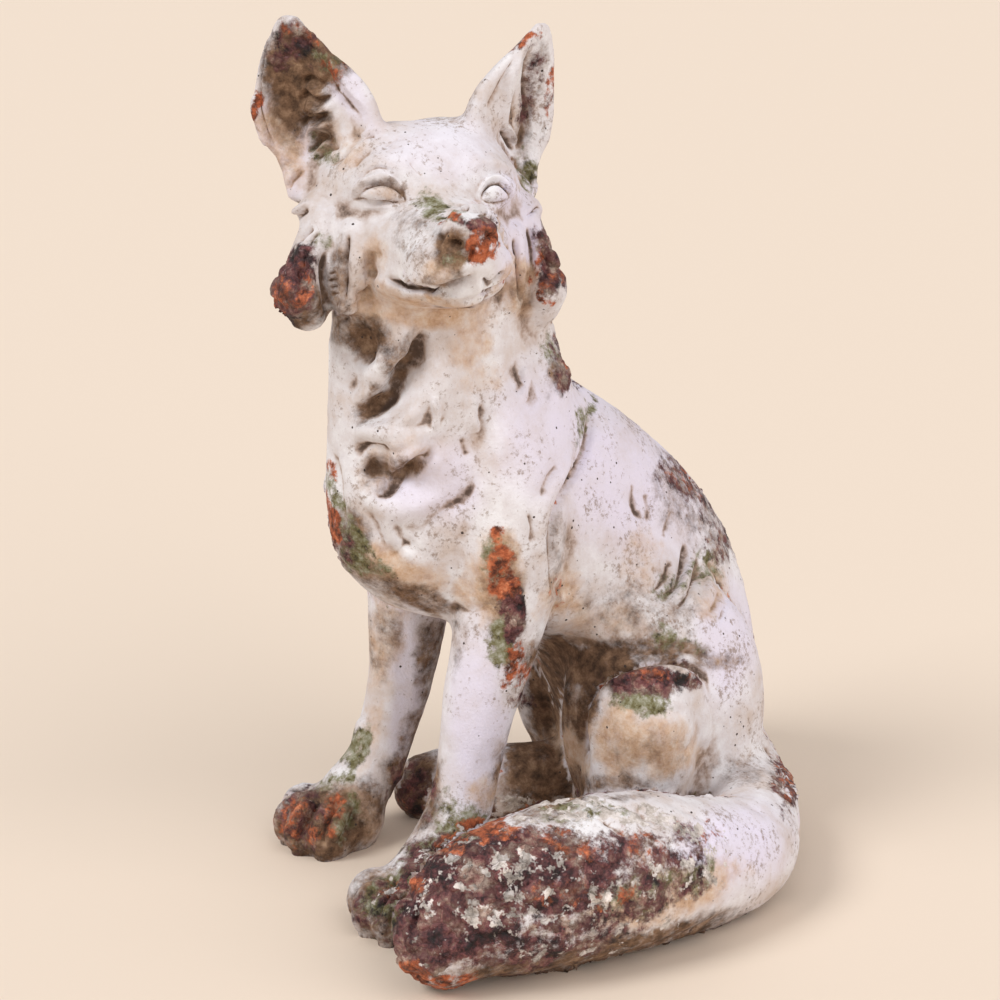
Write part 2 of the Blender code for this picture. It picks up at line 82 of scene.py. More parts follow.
def linear(code):
    """The linear colour of an sRGB hex value."""
    parts = [int(code[i:i + 2], 16) / 255 for i in (1, 3, 5)]
    return tuple(c / 12.92 if c <= 0.04045 else ((c + 0.055) / 1.055) ** 2.4 for c in parts) + (1.0,)


def unit(v):
    v = np.asarray(v, float)
    return v / max(np.linalg.norm(v), 1e-9)


def curve_through(rows, steps=6):
    """Points of a smooth curve through the rows, Catmull-Rom in every column."""
    rows = np.asarray(rows, float)
    if len(rows) < 3:
        rows = np.vstack([rows[0], (rows[0] + rows[-1]) / 2, rows[-1]])
    ends = np.vstack([2 * rows[0] - rows[1], rows, 2 * rows[-1] - rows[-2]])
    out = []
    for i in range(1, len(ends) - 2):
        p0, p1, p2, p3 = ends[i - 1], ends[i], ends[i + 1], ends[i + 2]
        for k in range(steps):
            t = k / steps
            out.append(0.5 * ((2 * p1) + (p2 - p0) * t + (2 * p0 - 5 * p1 + 4 * p2 - p3) * t * t
                              + (3 * p1 - p0 - 3 * p2 + p3) * t ** 3))
    out.append(rows[-1])
    return np.array(out)


def smoothstep(low, high, x):
    t = np.clip((x - low) / (high - low), 0, 1)
    return t * t * (3 - 2 * t)


# Noise, in figure units

def hashed(x, y, z, seed):
    """A number from 0 to 1 for each cell of a lattice."""
    with np.errstate(over='ignore'):
        h = (x.astype(np.uint32) * np.uint32(374761393) + y.astype(np.uint32) * np.uint32(668265263)
             + z.astype(np.uint32) * np.uint32(2246822519) + np.uint32(seed * 3266489917 % 2**32))
        h = (h ^ (h >> np.uint32(13))) * np.uint32(1274126177)
        h = (h ^ (h >> np.uint32(16))) * np.uint32(2654435761)
        h = h ^ (h >> np.uint32(15))
    return h.astype(float) / 2**32


def soft_noise(co, size, seed):
    """Smooth noise from -1 to 1 whose swells are about one size wide."""
    p = co / size + 4096
    cell = np.floor(p).astype(np.int64)
    f = p - cell
    f = f * f * (3 - 2 * f)
    out = np.zeros(len(co))
    for dx in (0, 1):
        for dy in (0, 1):
            for dz in (0, 1):
                weight = ((f[:, 0] if dx else 1 - f[:, 0]) * (f[:, 1] if dy else 1 - f[:, 1])
                          * (f[:, 2] if dz else 1 - f[:, 2]))
                out += weight * hashed(cell[:, 0] + dx, cell[:, 1] + dy, cell[:, 2] + dz, seed)
    return 2 * out - 1


def rough_noise(co, size, seed, octaves=3):
    out = np.zeros(len(co))
    height = 1.0
    for k in range(octaves):
        out += height * soft_noise(co, size / 2 ** k, seed + k)
        height *= 0.55
    return out


def nodules(co, size, seed):
    """Domes at scattered points, from 0 between them to 1 on top, and a number for each dome."""
    p = co / size + 4096
    cell = np.floor(p).astype(np.int64)
    best = np.full(len(co), 9.0)
    mark = np.zeros(len(co))
    for dx in (-1, 0, 1):
        for dy in (-1, 0, 1):
            for dz in (-1, 0, 1):
                x, y, z = cell[:, 0] + dx, cell[:, 1] + dy, cell[:, 2] + dz
                gap = np.stack([x + hashed(x, y, z, seed), y + hashed(x, y, z, seed + 1),
                                z + hashed(x, y, z, seed + 2)], axis=1) - p
                reach = 0.35 + 0.5 * hashed(x, y, z, seed + 3)
                d = np.einsum('ij,ij->i', gap, gap) / reach ** 2
                near = d < best
                best = np.where(near, d, best)
                mark = np.where(near, hashed(x, y, z, seed + 4), mark)
    return np.sqrt(np.clip(1 - best, 0, 1)), mark


# The layout view

FULL_CUT = 6.0                # depth of stroke that is darkened most, with dust and painted shade, in figure units
HIDDEN_BEHIND = (10, 16)      # depth behind the nearest skin over which a point drops out of sight
SOFT_EDGE = 0.45              # half width of a spot's soft edge, in shares of its size


def toward(turn, rise):
    """Direction of what stands so many degrees round from the front and so many up."""
    a, e = math.radians(turn), math.radians(rise)
    return np.array((math.sin(a) * math.cos(e), -math.cos(a) * math.cos(e), math.sin(e)))


class Layout:
    """A fixed view in which strokes and patches are drawn, and the skin that it sees."""

    def __init__(self, turn, rise, distance, target, focus):
        back = toward(turn, rise)
        self.ahead = -back
        self.right = unit(np.cross(self.ahead, (0, 0, 1)))
        self.up = np.cross(self.right, self.ahead)
        self.eye = np.asarray(target, float) + distance * back
        self.focus = focus

    def flat(self, co):
        """Across, down and depth of each point, in parts of the view and figure units."""
        gap = co - self.eye
        depth = gap @ self.ahead
        scale = self.focus / depth
        return np.stack([500 + gap @ self.right * scale, 500 - gap @ self.up * scale], axis=1), depth

    def seen(self, co, normals, facing=(0.05, 0.3)):
        """1 where the skin is turned to the view and nothing stands in front of it, else 0."""
        uv, depth = self.flat(co)
        size = 4
        cells = np.clip((uv / size).astype(int), 0, 1000 // size - 1)
        front = np.full((1000 // size, 1000 // size), 1e9)
        turned_to = -(normals @ self.ahead)
        keep = turned_to > 0
        np.minimum.at(front, (cells[keep, 1], cells[keep, 0]), depth[keep])
        near = front[cells[:, 1], cells[:, 0]]
        return smoothstep(facing[0], facing[1], turned_to) * (1 - smoothstep(*HIDDEN_BEHIND, depth - near))


FRONT_LEFT = Layout(VIEW_TURN, VIEW_RISE, VIEW_DISTANCE, VIEW_TARGET, VIEW_FOCUS)


def beside(uv, path):
    """Distance from a smooth path, signed to its left, and the share of the way along it."""
    line = curve_through(path)
    best = np.full(len(uv), 1e9)
    side = np.ones(len(uv))
    share = np.zeros(len(uv))
    for k in range(len(line) - 1):
        step = line[k + 1] - line[k]
        gap = uv - line[k]
        t = np.clip(gap @ step / max(step @ step, 1e-9), 0, 1)
        off = np.linalg.norm(gap - t[:, None] * step, axis=1)
        closer = off < best
        best = np.where(closer, off, best)
        side = np.where(closer, np.sign(step[0] * gap[:, 1] - step[1] * gap[:, 0]), side)
        share = np.where(closer, (k + t) / (len(line) - 1), share)
    return best * side, share


def stroke_profile(kind, x, width):
    if kind == 'fold':
        # A cut with the skin swelling up on the right-hand side of the path
        return -np.exp(-(x / width) ** 2) + 0.7 * np.exp(-((x - 1.9 * width) / (1.3 * width)) ** 2)
    if kind == 'ridge':
        return np.exp(-(x / width) ** 2)
    return -np.exp(-(x / width) ** 2)


def carve(co, normals, seen, uv, strokes):
    """Height that the strokes give each point, and how much of a cut runs through it."""
    height = np.zeros(len(co))
    cut = np.zeros(len(co))
    for kind, depth, width, path in strokes:
        line = np.reshape(path, (-1, 2)).astype(float)
        reach = 4.5 * width
        near = np.all((uv > line.min(axis=0) - reach) & (uv < line.max(axis=0) + reach), axis=1)
        index = np.nonzero(near & (seen > 0.01))[0]
        if len(index) == 0:
            continue
        x, share = beside(uv[index], line)
        taper = smoothstep(0, 0.3, np.minimum(share, 1 - share) + 0.06)
        shape = stroke_profile(kind, x, width) * taper * seen[index]
        height[index] += depth * shape
        cut[index] = np.maximum(cut[index], -shape * min(depth / FULL_CUT, 1))
    return height, cut


def spot(uv, x, y, wide, tall, slant=0.0, edge=SOFT_EDGE):
    """1 in the middle of an ellipse of the view and 0 outside it, with a soft edge."""
    a = math.radians(slant)
    gap = uv - (x, y)
    along = (gap[:, 0] * math.cos(a) + gap[:, 1] * math.sin(a)) / wide
    across = (-gap[:, 0] * math.sin(a) + gap[:, 1] * math.cos(a)) / tall
    return 1 - smoothstep(1 - edge, 1 + edge, np.sqrt(along * along + across * across))


# Carving seen from the front left: kind, depth in figure units, half width in parts of the view, and the
# path as across, down, across, down
EYES = (
    ('groove', 3.4, 2.0, (357, 198, 363, 190, 372, 185, 383, 183, 393, 186, 401, 192, 405, 200)),
    ('ridge', 2.0, 2.2, (351, 198, 357, 189, 367, 181, 380, 177, 393, 180, 403, 187)),
    ('groove', 1.2, 2.4, (350, 188, 358, 178, 369, 170, 381, 168, 393, 171)),
    ('groove', 1.8, 1.8, (355, 199, 370, 201, 386, 202, 403, 201)),
    ('ridge', 1.2, 2.6, (360, 206, 376, 207, 392, 207)),
    ('groove', 3.0, 1.8, (482, 198, 485, 189, 491, 184, 499, 184, 506, 190, 511, 198)),
    ('ridge', 1.8, 2.0, (479, 193, 484, 184, 491, 179, 500, 179, 508, 186, 513, 195)),
    ('groove', 1.6, 1.8, (483, 199, 491, 202, 500, 203, 509, 199)),
)
MUZZLE = (
    ('groove', 4.2, 3.0, (384, 277, 396, 282, 410, 287, 425, 289, 440, 288, 454, 285, 466, 281, 476, 274)),
    ('ridge', 2.0, 5.0, (398, 275, 415, 279, 435, 279, 455, 274)),
    ('ridge', 2.4, 4.0, (446, 295, 460, 293, 474, 288, 483, 281)),
    ('groove', 1.6, 4.0, (412, 301, 440, 305, 465, 304, 484, 298)),
    ('groove', 3.2, 2.4, (486, 296, 488, 288, 484, 278)),
    ('groove', 3.0, 2.2, (488, 287, 497, 280, 505, 272)),
    ('fold', 2.4, 6.0, (380, 248, 373, 258, 371, 270, 377, 280)),
    ('ridge', 1.6, 6.0, (362, 246, 354, 260, 354, 276, 362, 290)),
    ('groove', 1.6, 2.6, (437, 250, 441, 240, 449, 231, 455, 222)),
    ('groove', 6.0, 3.8, (449, 245, 456, 242, 463, 247)),
    ('groove', 2.6, 2.6, (483, 238, 487, 236, 490, 240)),
    ('groove', 2.6, 2.2, (468, 264, 471, 254, 473, 245)),
    ('ridge', 2.2, 3.2, (447, 224, 460, 214, 477, 211, 491, 219, 496, 232)),
)
BROWS = (
    ('ridge', 1.6, 4.5, (345, 166, 356, 152, 366, 144, 378, 139)),
    ('groove', 1.3, 2.6, (352, 168, 362, 156, 372, 149)),
    ('ridge', 1.4, 3.0, (362, 138, 370, 133, 378, 133)),
    ('groove', 1.0, 2.0, (364, 142, 370, 138, 376, 137)),
    ('groove', 0.6, 3.0, (384, 148, 392, 141, 402, 137)),
    ('groove', 0.6, 2.6, (408, 160, 416, 170, 424, 176)),
    ('ridge', 1.0, 4.0, (470, 168, 484, 163, 500, 164, 514, 172)),
)
RIGHT_EAR = (
    ('fold', 3.6, 4.0, (308, 152, 316, 145, 322, 138, 333, 136)),
    ('fold', 3.8, 4.2, (302, 128, 308, 118, 320, 116, 333, 112)),
    ('fold', 3.6, 4.0, (300, 104, 308, 94, 322, 98, 334, 93)),
    ('fold', 3.2, 3.6, (300, 86, 310, 79, 321, 84, 330, 76)),
    ('ridge', 2.6, 3.2, (304, 140, 312, 128, 326, 125, 338, 120)),
    ('ridge', 2.4, 3.0, (304, 113, 313, 104, 326, 106, 338, 101)),
    ('groove', 2.0, 2.2, (318, 160, 328, 150, 341, 146)),
    ('groove', 1.8, 2.0, (327, 166, 340, 158, 352, 152)),
    ('groove', 2.4, 3.6, (266, 40, 259, 66, 258, 95, 265, 128, 277, 160)),
    ('ridge', 1.6, 3.0, (262, 36, 254, 66, 253, 96, 260, 132, 270, 162, 283, 190)),
    ('ridge', 1.5, 3.4, (300, 25, 320, 46, 336, 70, 352, 92, 370, 112)),
    ('groove', 1.6, 2.6, (296, 34, 312, 50, 326, 72, 344, 98, 362, 118)),
    ('groove', 2.2, 2.6, (284, 190, 294, 180, 304, 168)),
)
LEFT_EAR = (
    ('groove', 3.0, 4.0, (538, 40, 530, 62, 527, 88, 527, 112, 522, 138, 516, 152)),
    ('ridge', 2.2, 4.0, (528, 40, 516, 64, 508, 92, 503, 118, 503, 138)),
    ('groove', 2.4, 2.6, (500, 128, 507, 138, 514, 150)),
    ('ridge', 1.8, 2.4, (506, 124, 512, 134, 519, 144)),
    ('groove', 1.6, 2.6, (520, 52, 507, 72, 497, 92, 486, 110)),
    ('groove', 2.2, 2.6, (508, 156, 520, 168, 531, 178, 537, 190)),
)
RIGHT_RUFF = (
    ('groove', 3.6, 3.0, (325, 250, 323, 268, 324, 286, 327, 300, 328, 316)),
    ('groove', 3.2, 3.0, (349, 232, 346, 250, 346, 268, 347, 286, 345, 302)),
    ('groove', 2.0, 2.2, (309, 246, 303, 262, 300, 280, 303, 300)),
    ('groove', 1.6, 2.0, (295, 252, 288, 270, 285, 290)),
    ('ridge', 1.8, 2.6, (316, 250, 312, 268, 311, 290, 314, 308)),
    ('groove', 1.2, 1.5, (328, 274, 336, 272)),
    ('groove', 1.2, 1.5, (328, 281, 337, 279)),
    ('groove', 1.2, 1.5, (329, 288, 338, 286)),
    ('groove', 1.2, 1.5, (330, 295, 339, 293)),
    ('groove', 2.0, 2.2, (297, 242, 305, 233, 313, 228)),
    ('groove', 1.8, 2.0, (306, 246, 313, 238, 320, 233)),
    ('groove', 2.0, 2.0, (290, 222, 300, 216, 308, 208)),
    ('ridge', 2.0, 2.6, (290, 217, 301, 208, 312, 203)),
    ('fold', 2.0, 3.2, (362, 300, 348, 312, 338, 322)),
)
LEFT_RUFF = (
    ('groove', 3.2, 2.8, (514, 236, 516, 252, 517, 270, 520, 290, 522, 304)),
    ('groove', 2.0, 2.2, (527, 226, 531, 244, 532, 262, 533, 284)),
    ('groove', 2.0, 2.2, (536, 232, 544, 250, 548, 270, 549, 292)),
    ('groove', 1.6, 1.8, (524, 258, 528, 270, 529, 286)),
    ('ridge', 1.6, 2.6, (540, 236, 550, 256, 556, 276, 557, 296)),
    ('groove', 1.8, 2.0, (526, 216, 534, 210, 540, 206)),
)
CHEST = (
    ('fold', 5.5, 7.0, (424, 330, 418, 345, 413, 359, 404, 371, 396, 386, 385, 401, 368, 411, 352, 414)),
    ('groove', 3.2, 7.0, (408, 350, 394, 372, 376, 396, 358, 405)),
    ('groove', 2.4, 8.0, (352, 330, 366, 350, 372, 366)),
    ('ridge', 2.6, 7.0, (384, 340, 378, 362, 366, 384)),
    ('fold', 3.6, 7.0, (352, 452, 364, 447, 378, 446, 392, 450)),
    ('groove', 3.6, 8.0, (366, 462, 378, 472, 392, 474)),
    ('fold', 4.6, 6.5, (436, 444, 424, 458, 410, 468, 398, 478, 386, 490, 372, 496)),
    ('ridge', 2.6, 7.0, (354, 430, 376, 432, 400, 424, 420, 408)),
    ('fold', 1.2, 6.0, (472, 474, 470, 488, 462, 498, 450, 505, 438, 513, 428, 522, 420, 534)),
    ('groove', 1.2, 5.0, (414, 540, 402, 548, 392, 560)),
    ('ridge', 2.0, 4.0, (432, 396, 436, 412, 434, 430)),
    ('ridge', 2.0, 4.5, (474, 392, 471, 412, 474, 434)),
    ('ridge', 1.8, 4.5, (523, 366, 524, 384, 519, 404)),
    ('groove', 0.9, 3.4, (448, 353, 452, 361, 456, 370)),
    ('groove', 0.8, 3.6, (461, 436, 464, 446, 466, 456)),
    ('groove', 2.2, 3.2, (566, 334, 573, 346, 577, 358)),
    ('groove', 2.0, 4.0, (330, 446, 336, 470, 340, 500, 346, 530)),
    ('fold', 1.8, 6.0, (362, 508, 374, 524, 386, 548, 404, 574)),
    ('groove', 1.0, 5.0, (392, 520, 404, 540, 424, 558)),
    ('groove', 1.6, 5.0, (560, 462, 548, 480, 542, 500)),
    ('groove', 1.4, 3.5, (528, 512, 532, 528, 531, 544)),
)
FLANK = (
    ('fold', 2.8, 4.6, (590, 396, 589, 418, 586, 440, 576, 466, 562, 492, 552, 520, 550, 546, 552, 566,
        554, 584, 559, 598)),
    ('groove', 2.0, 6.0, (560, 598, 554, 616, 545, 634)),
    ('groove', 2.2, 3.4, (686, 540, 684, 560, 676, 582, 660, 602)),
    ('ridge', 1.6, 3.4, (692, 548, 689, 568, 680, 592, 668, 606)),
    ('groove', 2.2, 3.0, (698, 556, 695, 576, 687, 594, 676, 610)),
    ('groove', 1.2, 2.6, (670, 560, 663, 578, 652, 594)),
    ('groove', 2.0, 3.4, (702, 556, 716, 570, 721, 586, 717, 602, 708, 616)),
    ('ridge', 1.6, 4.0, (706, 574, 709, 588, 703, 606)),
    ('groove', 1.3, 2.8, (726, 590, 725, 606, 718, 622)),
    ('groove', 1.0, 4.0, (634, 480, 633, 500, 638, 520)),
    ('groove', 1.0, 3.6, (645, 490, 648, 508, 648, 524)),
    ('groove', 1.0, 4.0, (676, 506, 668, 522, 664, 540)),
)
HINDQUARTERS = (
    ('fold', 5.0, 5.0, (585, 790, 586, 752, 590, 722, 596, 702, 607, 684, 624, 672, 646, 665, 670, 663,
        690, 667, 704, 678, 709, 694)),
    ('groove', 2.4, 6.0, (560, 636, 600, 648, 650, 650, 690, 652, 722, 662)),
    ('groove', 1.8, 5.0, (542, 688, 547, 712, 553, 740, 560, 776)),
    ('groove', 1.6, 4.0, (684, 700, 692, 722, 692, 742, 682, 756)),
    ('ridge', 1.6, 4.5, (700, 704, 703, 724, 701, 748)),
    ('groove', 1.6, 4.0, (648, 716, 664, 712, 680, 716)),
    ('groove', 1.4, 4.5, (644, 742, 650, 754, 648, 768)),
)
PAWS = (
    ('groove', 3.4, 3.0, (322, 796, 312, 812, 304, 826, 299, 842)),
    ('groove', 3.4, 3.0, (339, 800, 332, 816, 325, 832, 321, 850)),
    ('groove', 3.2, 3.0, (357, 806, 352, 822, 345, 838, 341, 852)),
    ('ridge', 1.8, 4.0, (316, 790, 303, 806, 290, 824)),
    ('ridge', 1.8, 4.0, (333, 792, 322, 812, 312, 832)),
    ('ridge', 1.8, 4.0, (350, 800, 342, 818, 334, 838)),
    ('groove', 3.4, 3.0, (398, 874, 388, 892, 379, 908, 372, 924)),
    ('groove', 3.4, 3.0, (414, 884, 405, 900, 396, 914, 390, 930)),
    ('groove', 3.0, 3.0, (424, 900, 414, 916, 409, 932)),
    ('groove', 2.4, 5.0, (420, 842, 436, 850, 452, 848)),
)
FORELEGS = (
    ('groove', 0.8, 9.0, (396, 604, 404, 650, 404, 700, 398, 740)),
    ('groove', 1.4, 6.0, (446, 604, 470, 612, 492, 606)),
    ('ridge', 2.0, 7.0, (561, 590, 558, 612, 546, 636)),
    ('ridge', 1.4, 8.0, (363, 716, 358, 734, 364, 752)),
)
BRUSH_STROKES = (
    ('groove', 2.4, 4.0, (764, 742, 776, 756, 786, 776, 790, 800)),
    ('groove', 1.4, 4.0, (700, 796, 740, 800, 770, 816)),
    ('groove', 1.3, 3.5, (668, 802, 704, 818, 730, 838)),
    ('groove', 1.4, 4.0, (620, 800, 660, 816, 690, 840)),
    ('groove', 1.6, 4.0, (560, 806, 606, 822, 644, 848)),
    ('groove', 1.6, 4.0, (640, 950, 690, 934, 740, 908)),
    ('groove', 1.6, 3.4, (590, 800, 630, 808, 668, 826)),
)
ALL_STROKES = (EYES + MUZZLE + BROWS + RIGHT_EAR + LEFT_EAR + RIGHT_RUFF + LEFT_RUFF + CHEST + FLANK
               + HINDQUARTERS + PAWS + FORELEGS + BRUSH_STROKES)

# Swells and hollows of the same view: height in figure units, middle, half sizes and slant if any
SWELLS = (
    (1.0, 382, 193, 16, 8), (0.8, 496, 193, 10, 8), (2.2, 472, 240, 26, 26), (1.4, 366, 264, 9, 13, 15),
    (-3.0, 285, 120, 16, 34, -8), (3.0, 330, 110, 13, 30, -22), (3.0, 300, 296, 16, 18),
    (2.2, 545, 290, 11, 16), (-3.0, 377, 462, 18, 15, 30), (2.6, 395, 440, 30, 8, -14),
    (-2.6, 362, 338, 20, 24, 30), (4.0, 650, 712, 50, 40, -6), (2.0, 500, 420, 20, 36),
)

# Parts of the outline moved in the view: shift across and down, middle, half sizes and slant if any
SHIFTS = (
    (0, 6, 480, 222, 34, 28), (-5, 0, 258, 84, 16, 52, -4), (-2, -2, 286, 24, 18, 16),
    (-4, 1, 558, 92, 12, 46, 4), (1, 3, 541, 22, 16, 12), (7, 1, 306, 318, 22, 18),
    (-3, 0, 268, 290, 8, 20), (5, 2, 598, 716, 20, 40, 8),
)

# Growth, stains and painted shade of the same view: amount, middle, half sizes and slant if any
# Grime, and painted shade: dark brown under the jaw, under the belly, between the hind legs, inside the ears
# and under the brush
GRIME_AND_SHADE = (
    (0.8, 366, 334, 34, 20, 25), (0.6, 350, 318, 26, 12, 10), (0.6, 402, 356, 16, 30, 30),
    (0.8, 372, 404, 26, 9, -28), (0.5, 384, 466, 24, 18, -20), (0.75, 404, 466, 20, 9, -30),
    (0.7, 352, 540, 16, 34, -14), (0.6, 372, 576, 30, 16, 25), (0.7, 420, 598, 40, 12, 12),
    (1.0, 590, 664, 66, 26, 10), (0.95, 548, 690, 26, 50), (0.95, 530, 770, 34, 44),
    (0.9, 586, 700, 12, 40, 8), (0.7, 640, 650, 80, 14), (0.5, 700, 656, 50, 10, 10),
    (0.95, 412, 790, 30, 40), (0.6, 430, 650, 12, 60, 8), (0.6, 412, 740, 12, 34, 12),
    (0.6, 365, 810, 22, 34, 10), (0.95, 322, 826, 48, 38), (0.75, 390, 906, 46, 42), (0.5, 381, 187, 22, 5),
    (0.5, 404, 196, 4, 8), (1.0, 300, 66, 42, 50), (0.9, 302, 104, 16, 34), (0.7, 318, 118, 14, 40, -18),
    (0.32, 284, 140, 22, 40, -10), (0.38, 534, 90, 12, 46, 6), (0.5, 524, 140, 14, 22),
    (0.6, 336, 285, 14, 44, 4), (0.5, 526, 296, 16, 24), (0.75, 298, 308, 32, 24, -10),
    (0.8, 590, 956, 170, 18, -13), (0.6, 560, 370, 18, 24, 40), (0.4, 700, 500, 40, 60, -30),
    (0.35, 560, 560, 14, 50), (0.2, 650, 752, 50, 36), (0.6, 600, 784, 60, 12), (0.35, 455, 640, 10, 40),
    (0.95, 453, 250, 20, 18, -30), (1.0, 456, 246, 10, 8), (0.5, 440, 276, 24, 8),
    (0.55, 504, 600, 22, 66, -4), (0.6, 424, 864, 20, 26), (0.4, 385, 640, 20, 40), (0.9, 560, 790, 30, 30),
    (0.3, 420, 232, 36, 24, 20), (0.36, 640, 610, 70, 30, 8), (0.4, 740, 770, 40, 14),
)
# Tan stain, and painted shade under the chin, in the chest folds and on the shaded side of the legs
TAN_STAIN_AND_SHADE = (
    (0.7, 430, 312, 60, 18, 8), (0.6, 470, 340, 20, 30), (0.4, 482, 380, 26, 20),
    (0.75, 400, 572, 50, 22, 20), (0.6, 440, 270, 26, 12, -20), (0.7, 520, 290, 22, 30),
    (0.5, 372, 262, 14, 26, 10), (0.6, 376, 300, 26, 20, 20), (0.5, 385, 640, 22, 48, 8),
    (0.6, 470, 580, 16, 26), (0.6, 565, 592, 20, 30), (0.5, 600, 620, 60, 22, 10), (0.72, 662, 745, 36, 32),
    (0.75, 660, 898, 90, 24, -16), (0.3, 383, 194, 24, 9), (0.5, 366, 740, 14, 40, 20),
    (0.35, 640, 560, 20, 40), (0.5, 710, 590, 16, 30), (0.4, 355, 150, 20, 14, -30),
    (0.45, 330, 130, 12, 40, -20), (0.4, 395, 460, 40, 26, -20), (0.9, 498, 580, 24, 48),
    (0.6, 284, 140, 24, 46, -10), (0.8, 620, 740, 26, 44), (0.8, 572, 740, 20, 50), (0.7, 340, 820, 40, 36),
    (0.6, 490, 792, 22, 20),
)
MOSS = (
    (0.7, 440, 210, 26, 15, 20), (0.45, 456, 262, 20, 12), (0.7, 462, 832, 36, 26, -30),
    (1.0, 398, 892, 40, 26, -40), (0.9, 434, 862, 26, 24, -40), (0.75, 354, 748, 14, 28, 30),
    (0.6, 336, 782, 24, 12, -20), (0.6, 586, 420, 8, 34, 8), (0.6, 676, 642, 30, 12, 10),
    (0.8, 640, 700, 34, 16), (0.6, 528, 168, 12, 20, -30), (0.55, 704, 566, 20, 20, 30),
    (0.6, 337, 505, 10, 40, -8), (0.75, 354, 550, 14, 34, -24), (0.6, 494, 560, 14, 26),
    (0.85, 500, 642, 16, 28), (0.5, 328, 60, 14, 16), (0.6, 700, 868, 24, 14, -20),
    (0.6, 346, 820, 10, 26, 10), (0.66, 640, 892, 80, 20, -12), (0.5, 318, 240, 16, 12),
    (0.5, 555, 350, 16, 20, 40), (0.6, 372, 565, 24, 14, 30), (0.55, 590, 812, 60, 10, -6),
    (0.5, 450, 812, 22, 16, -10), (0.6, 416, 872, 20, 30), (0.5, 324, 150, 12, 20, -30),
    (0.45, 670, 590, 20, 16, -50),
)
RUST = (
    (0.9, 480, 246, 16, 20, 30), (0.6, 452, 220, 10, 6, -30), (1.0, 330, 522, 9, 26, -8),
    (0.75, 336, 470, 6, 16, -6), (0.85, 500, 576, 18, 32, -4), (0.95, 497, 536, 9, 9),
    (0.78, 516, 660, 17, 24, 6), (0.85, 490, 828, 38, 12, 6), (0.7, 452, 842, 22, 12, -30),
    (0.9, 412, 974, 20, 14, 30), (0.75, 446, 986, 30, 8, -6), (0.6, 420, 880, 16, 12, -30),
    (0.55, 566, 842, 44, 14, 16), (0.5, 640, 846, 36, 14, 20), (0.6, 300, 34, 30, 10, 30),
    (0.85, 256, 112, 7, 32, -6), (0.65, 334, 70, 8, 20, -36), (0.65, 286, 302, 12, 22, 10),
    (0.6, 303, 290, 8, 26, 8), (0.7, 550, 292, 9, 22), (0.65, 532, 262, 6, 26), (0.75, 552, 90, 5, 40),
    (0.8, 524, 42, 20, 8, -36), (0.5, 655, 674, 44, 10), (0.6, 610, 900, 30, 12, -20),
    (0.66, 298, 820, 24, 24), (0.6, 334, 814, 12, 22, 10), (0.5, 390, 890, 20, 14, -40),
    (0.5, 572, 356, 10, 16, 40), (0.5, 690, 480, 20, 24, 40), (0.6, 784, 780, 12, 26, -20),
    (0.5, 700, 830, 26, 16, 20), (0.5, 402, 800, 12, 20), (0.45, 560, 890, 40, 20),
    (0.45, 560, 590, 14, 24),
)
PLUM_CRUST = (
    (0.95, 460, 900, 72, 66, -20), (0.85, 540, 872, 90, 44, 10), (0.58, 640, 862, 76, 26, 12),
    (0.6, 530, 944, 110, 24, -12), (0.56, 630, 902, 90, 20, -12), (0.5, 690, 842, 30, 16, 30),
    (0.8, 654, 680, 48, 16), (0.8, 478, 226, 23, 9, 8), (0.5, 482, 236, 10, 10),
    (0.8, 292, 286, 22, 42, 12), (0.8, 548, 262, 13, 38, -14), (0.55, 295, 44, 34, 28, 20),
    (0.65, 572, 366, 16, 30, 36), (0.5, 690, 478, 34, 26, 45), (0.5, 728, 540, 20, 34, 60),
    (0.42, 530, 90, 14, 44, 8), (0.8, 510, 612, 15, 34, -6), (0.5, 304, 815, 30, 34),
    (0.5, 376, 908, 24, 28), (0.6, 784, 784, 12, 28, -16), (0.5, 560, 344, 14, 14), (0.6, 412, 790, 26, 34),
    (0.9, 424, 950, 36, 34), (0.5, 340, 548, 14, 30, -20), (0.5, 524, 700, 14, 10),
    (0.42, 700, 500, 20, 40, -35),
)
WHITE_SCABS = (
    (0.8, 590, 812, 100, 16, 4), (0.7, 440, 850, 30, 14, -40), (0.7, 690, 836, 50, 18, 20),
    (0.6, 510, 890, 120, 50), (0.6, 670, 880, 80, 30, -10), (0.5, 600, 940, 90, 14, -12),
    (0.45, 432, 936, 30, 34), (0.4, 402, 890, 34, 26, -40), (0.15, 640, 730, 40, 26),
)
LAVENDER = (
    (0.8, 620, 480, 60, 70, -30), (0.7, 560, 430, 60, 70), (0.7, 730, 640, 30, 60),
    (0.8, 730, 850, 60, 40, -30), (0.7, 475, 720, 30, 90), (0.7, 520, 230, 26, 60),
    (0.35, 440, 150, 60, 30), (0.8, 285, 140, 26, 50, -10), (0.6, 430, 480, 50, 40),
    (0.6, 640, 480, 60, 90, -20), (0.5, 350, 90, 16, 50, -36), (0.5, 408, 700, 16, 90),
)
PATCHES = {'grime_and_shade': GRIME_AND_SHADE, 'tan_and_shade': TAN_STAIN_AND_SHADE, 'moss': MOSS, 'rust': RUST, 'plum': PLUM_CRUST,
           'scabs': WHITE_SCABS, 'lavender': LAVENDER}

# The brush all round, told from the body by where it lies
BRUSH_MIDLINE = ((132, -72, 28), (138, -44, 41), (148, -4, 45), (161, 46, 43), (166, 90, 36))


# The skin

HEAD_BASE = (318, 345)        # heights between which the neck turns into the head
PAW_TOP = (34, 46)            # heights over which the paws end, and how far back and to the left they lie
PAW_BACK = (30, 46)
PAW_SIDE = 100


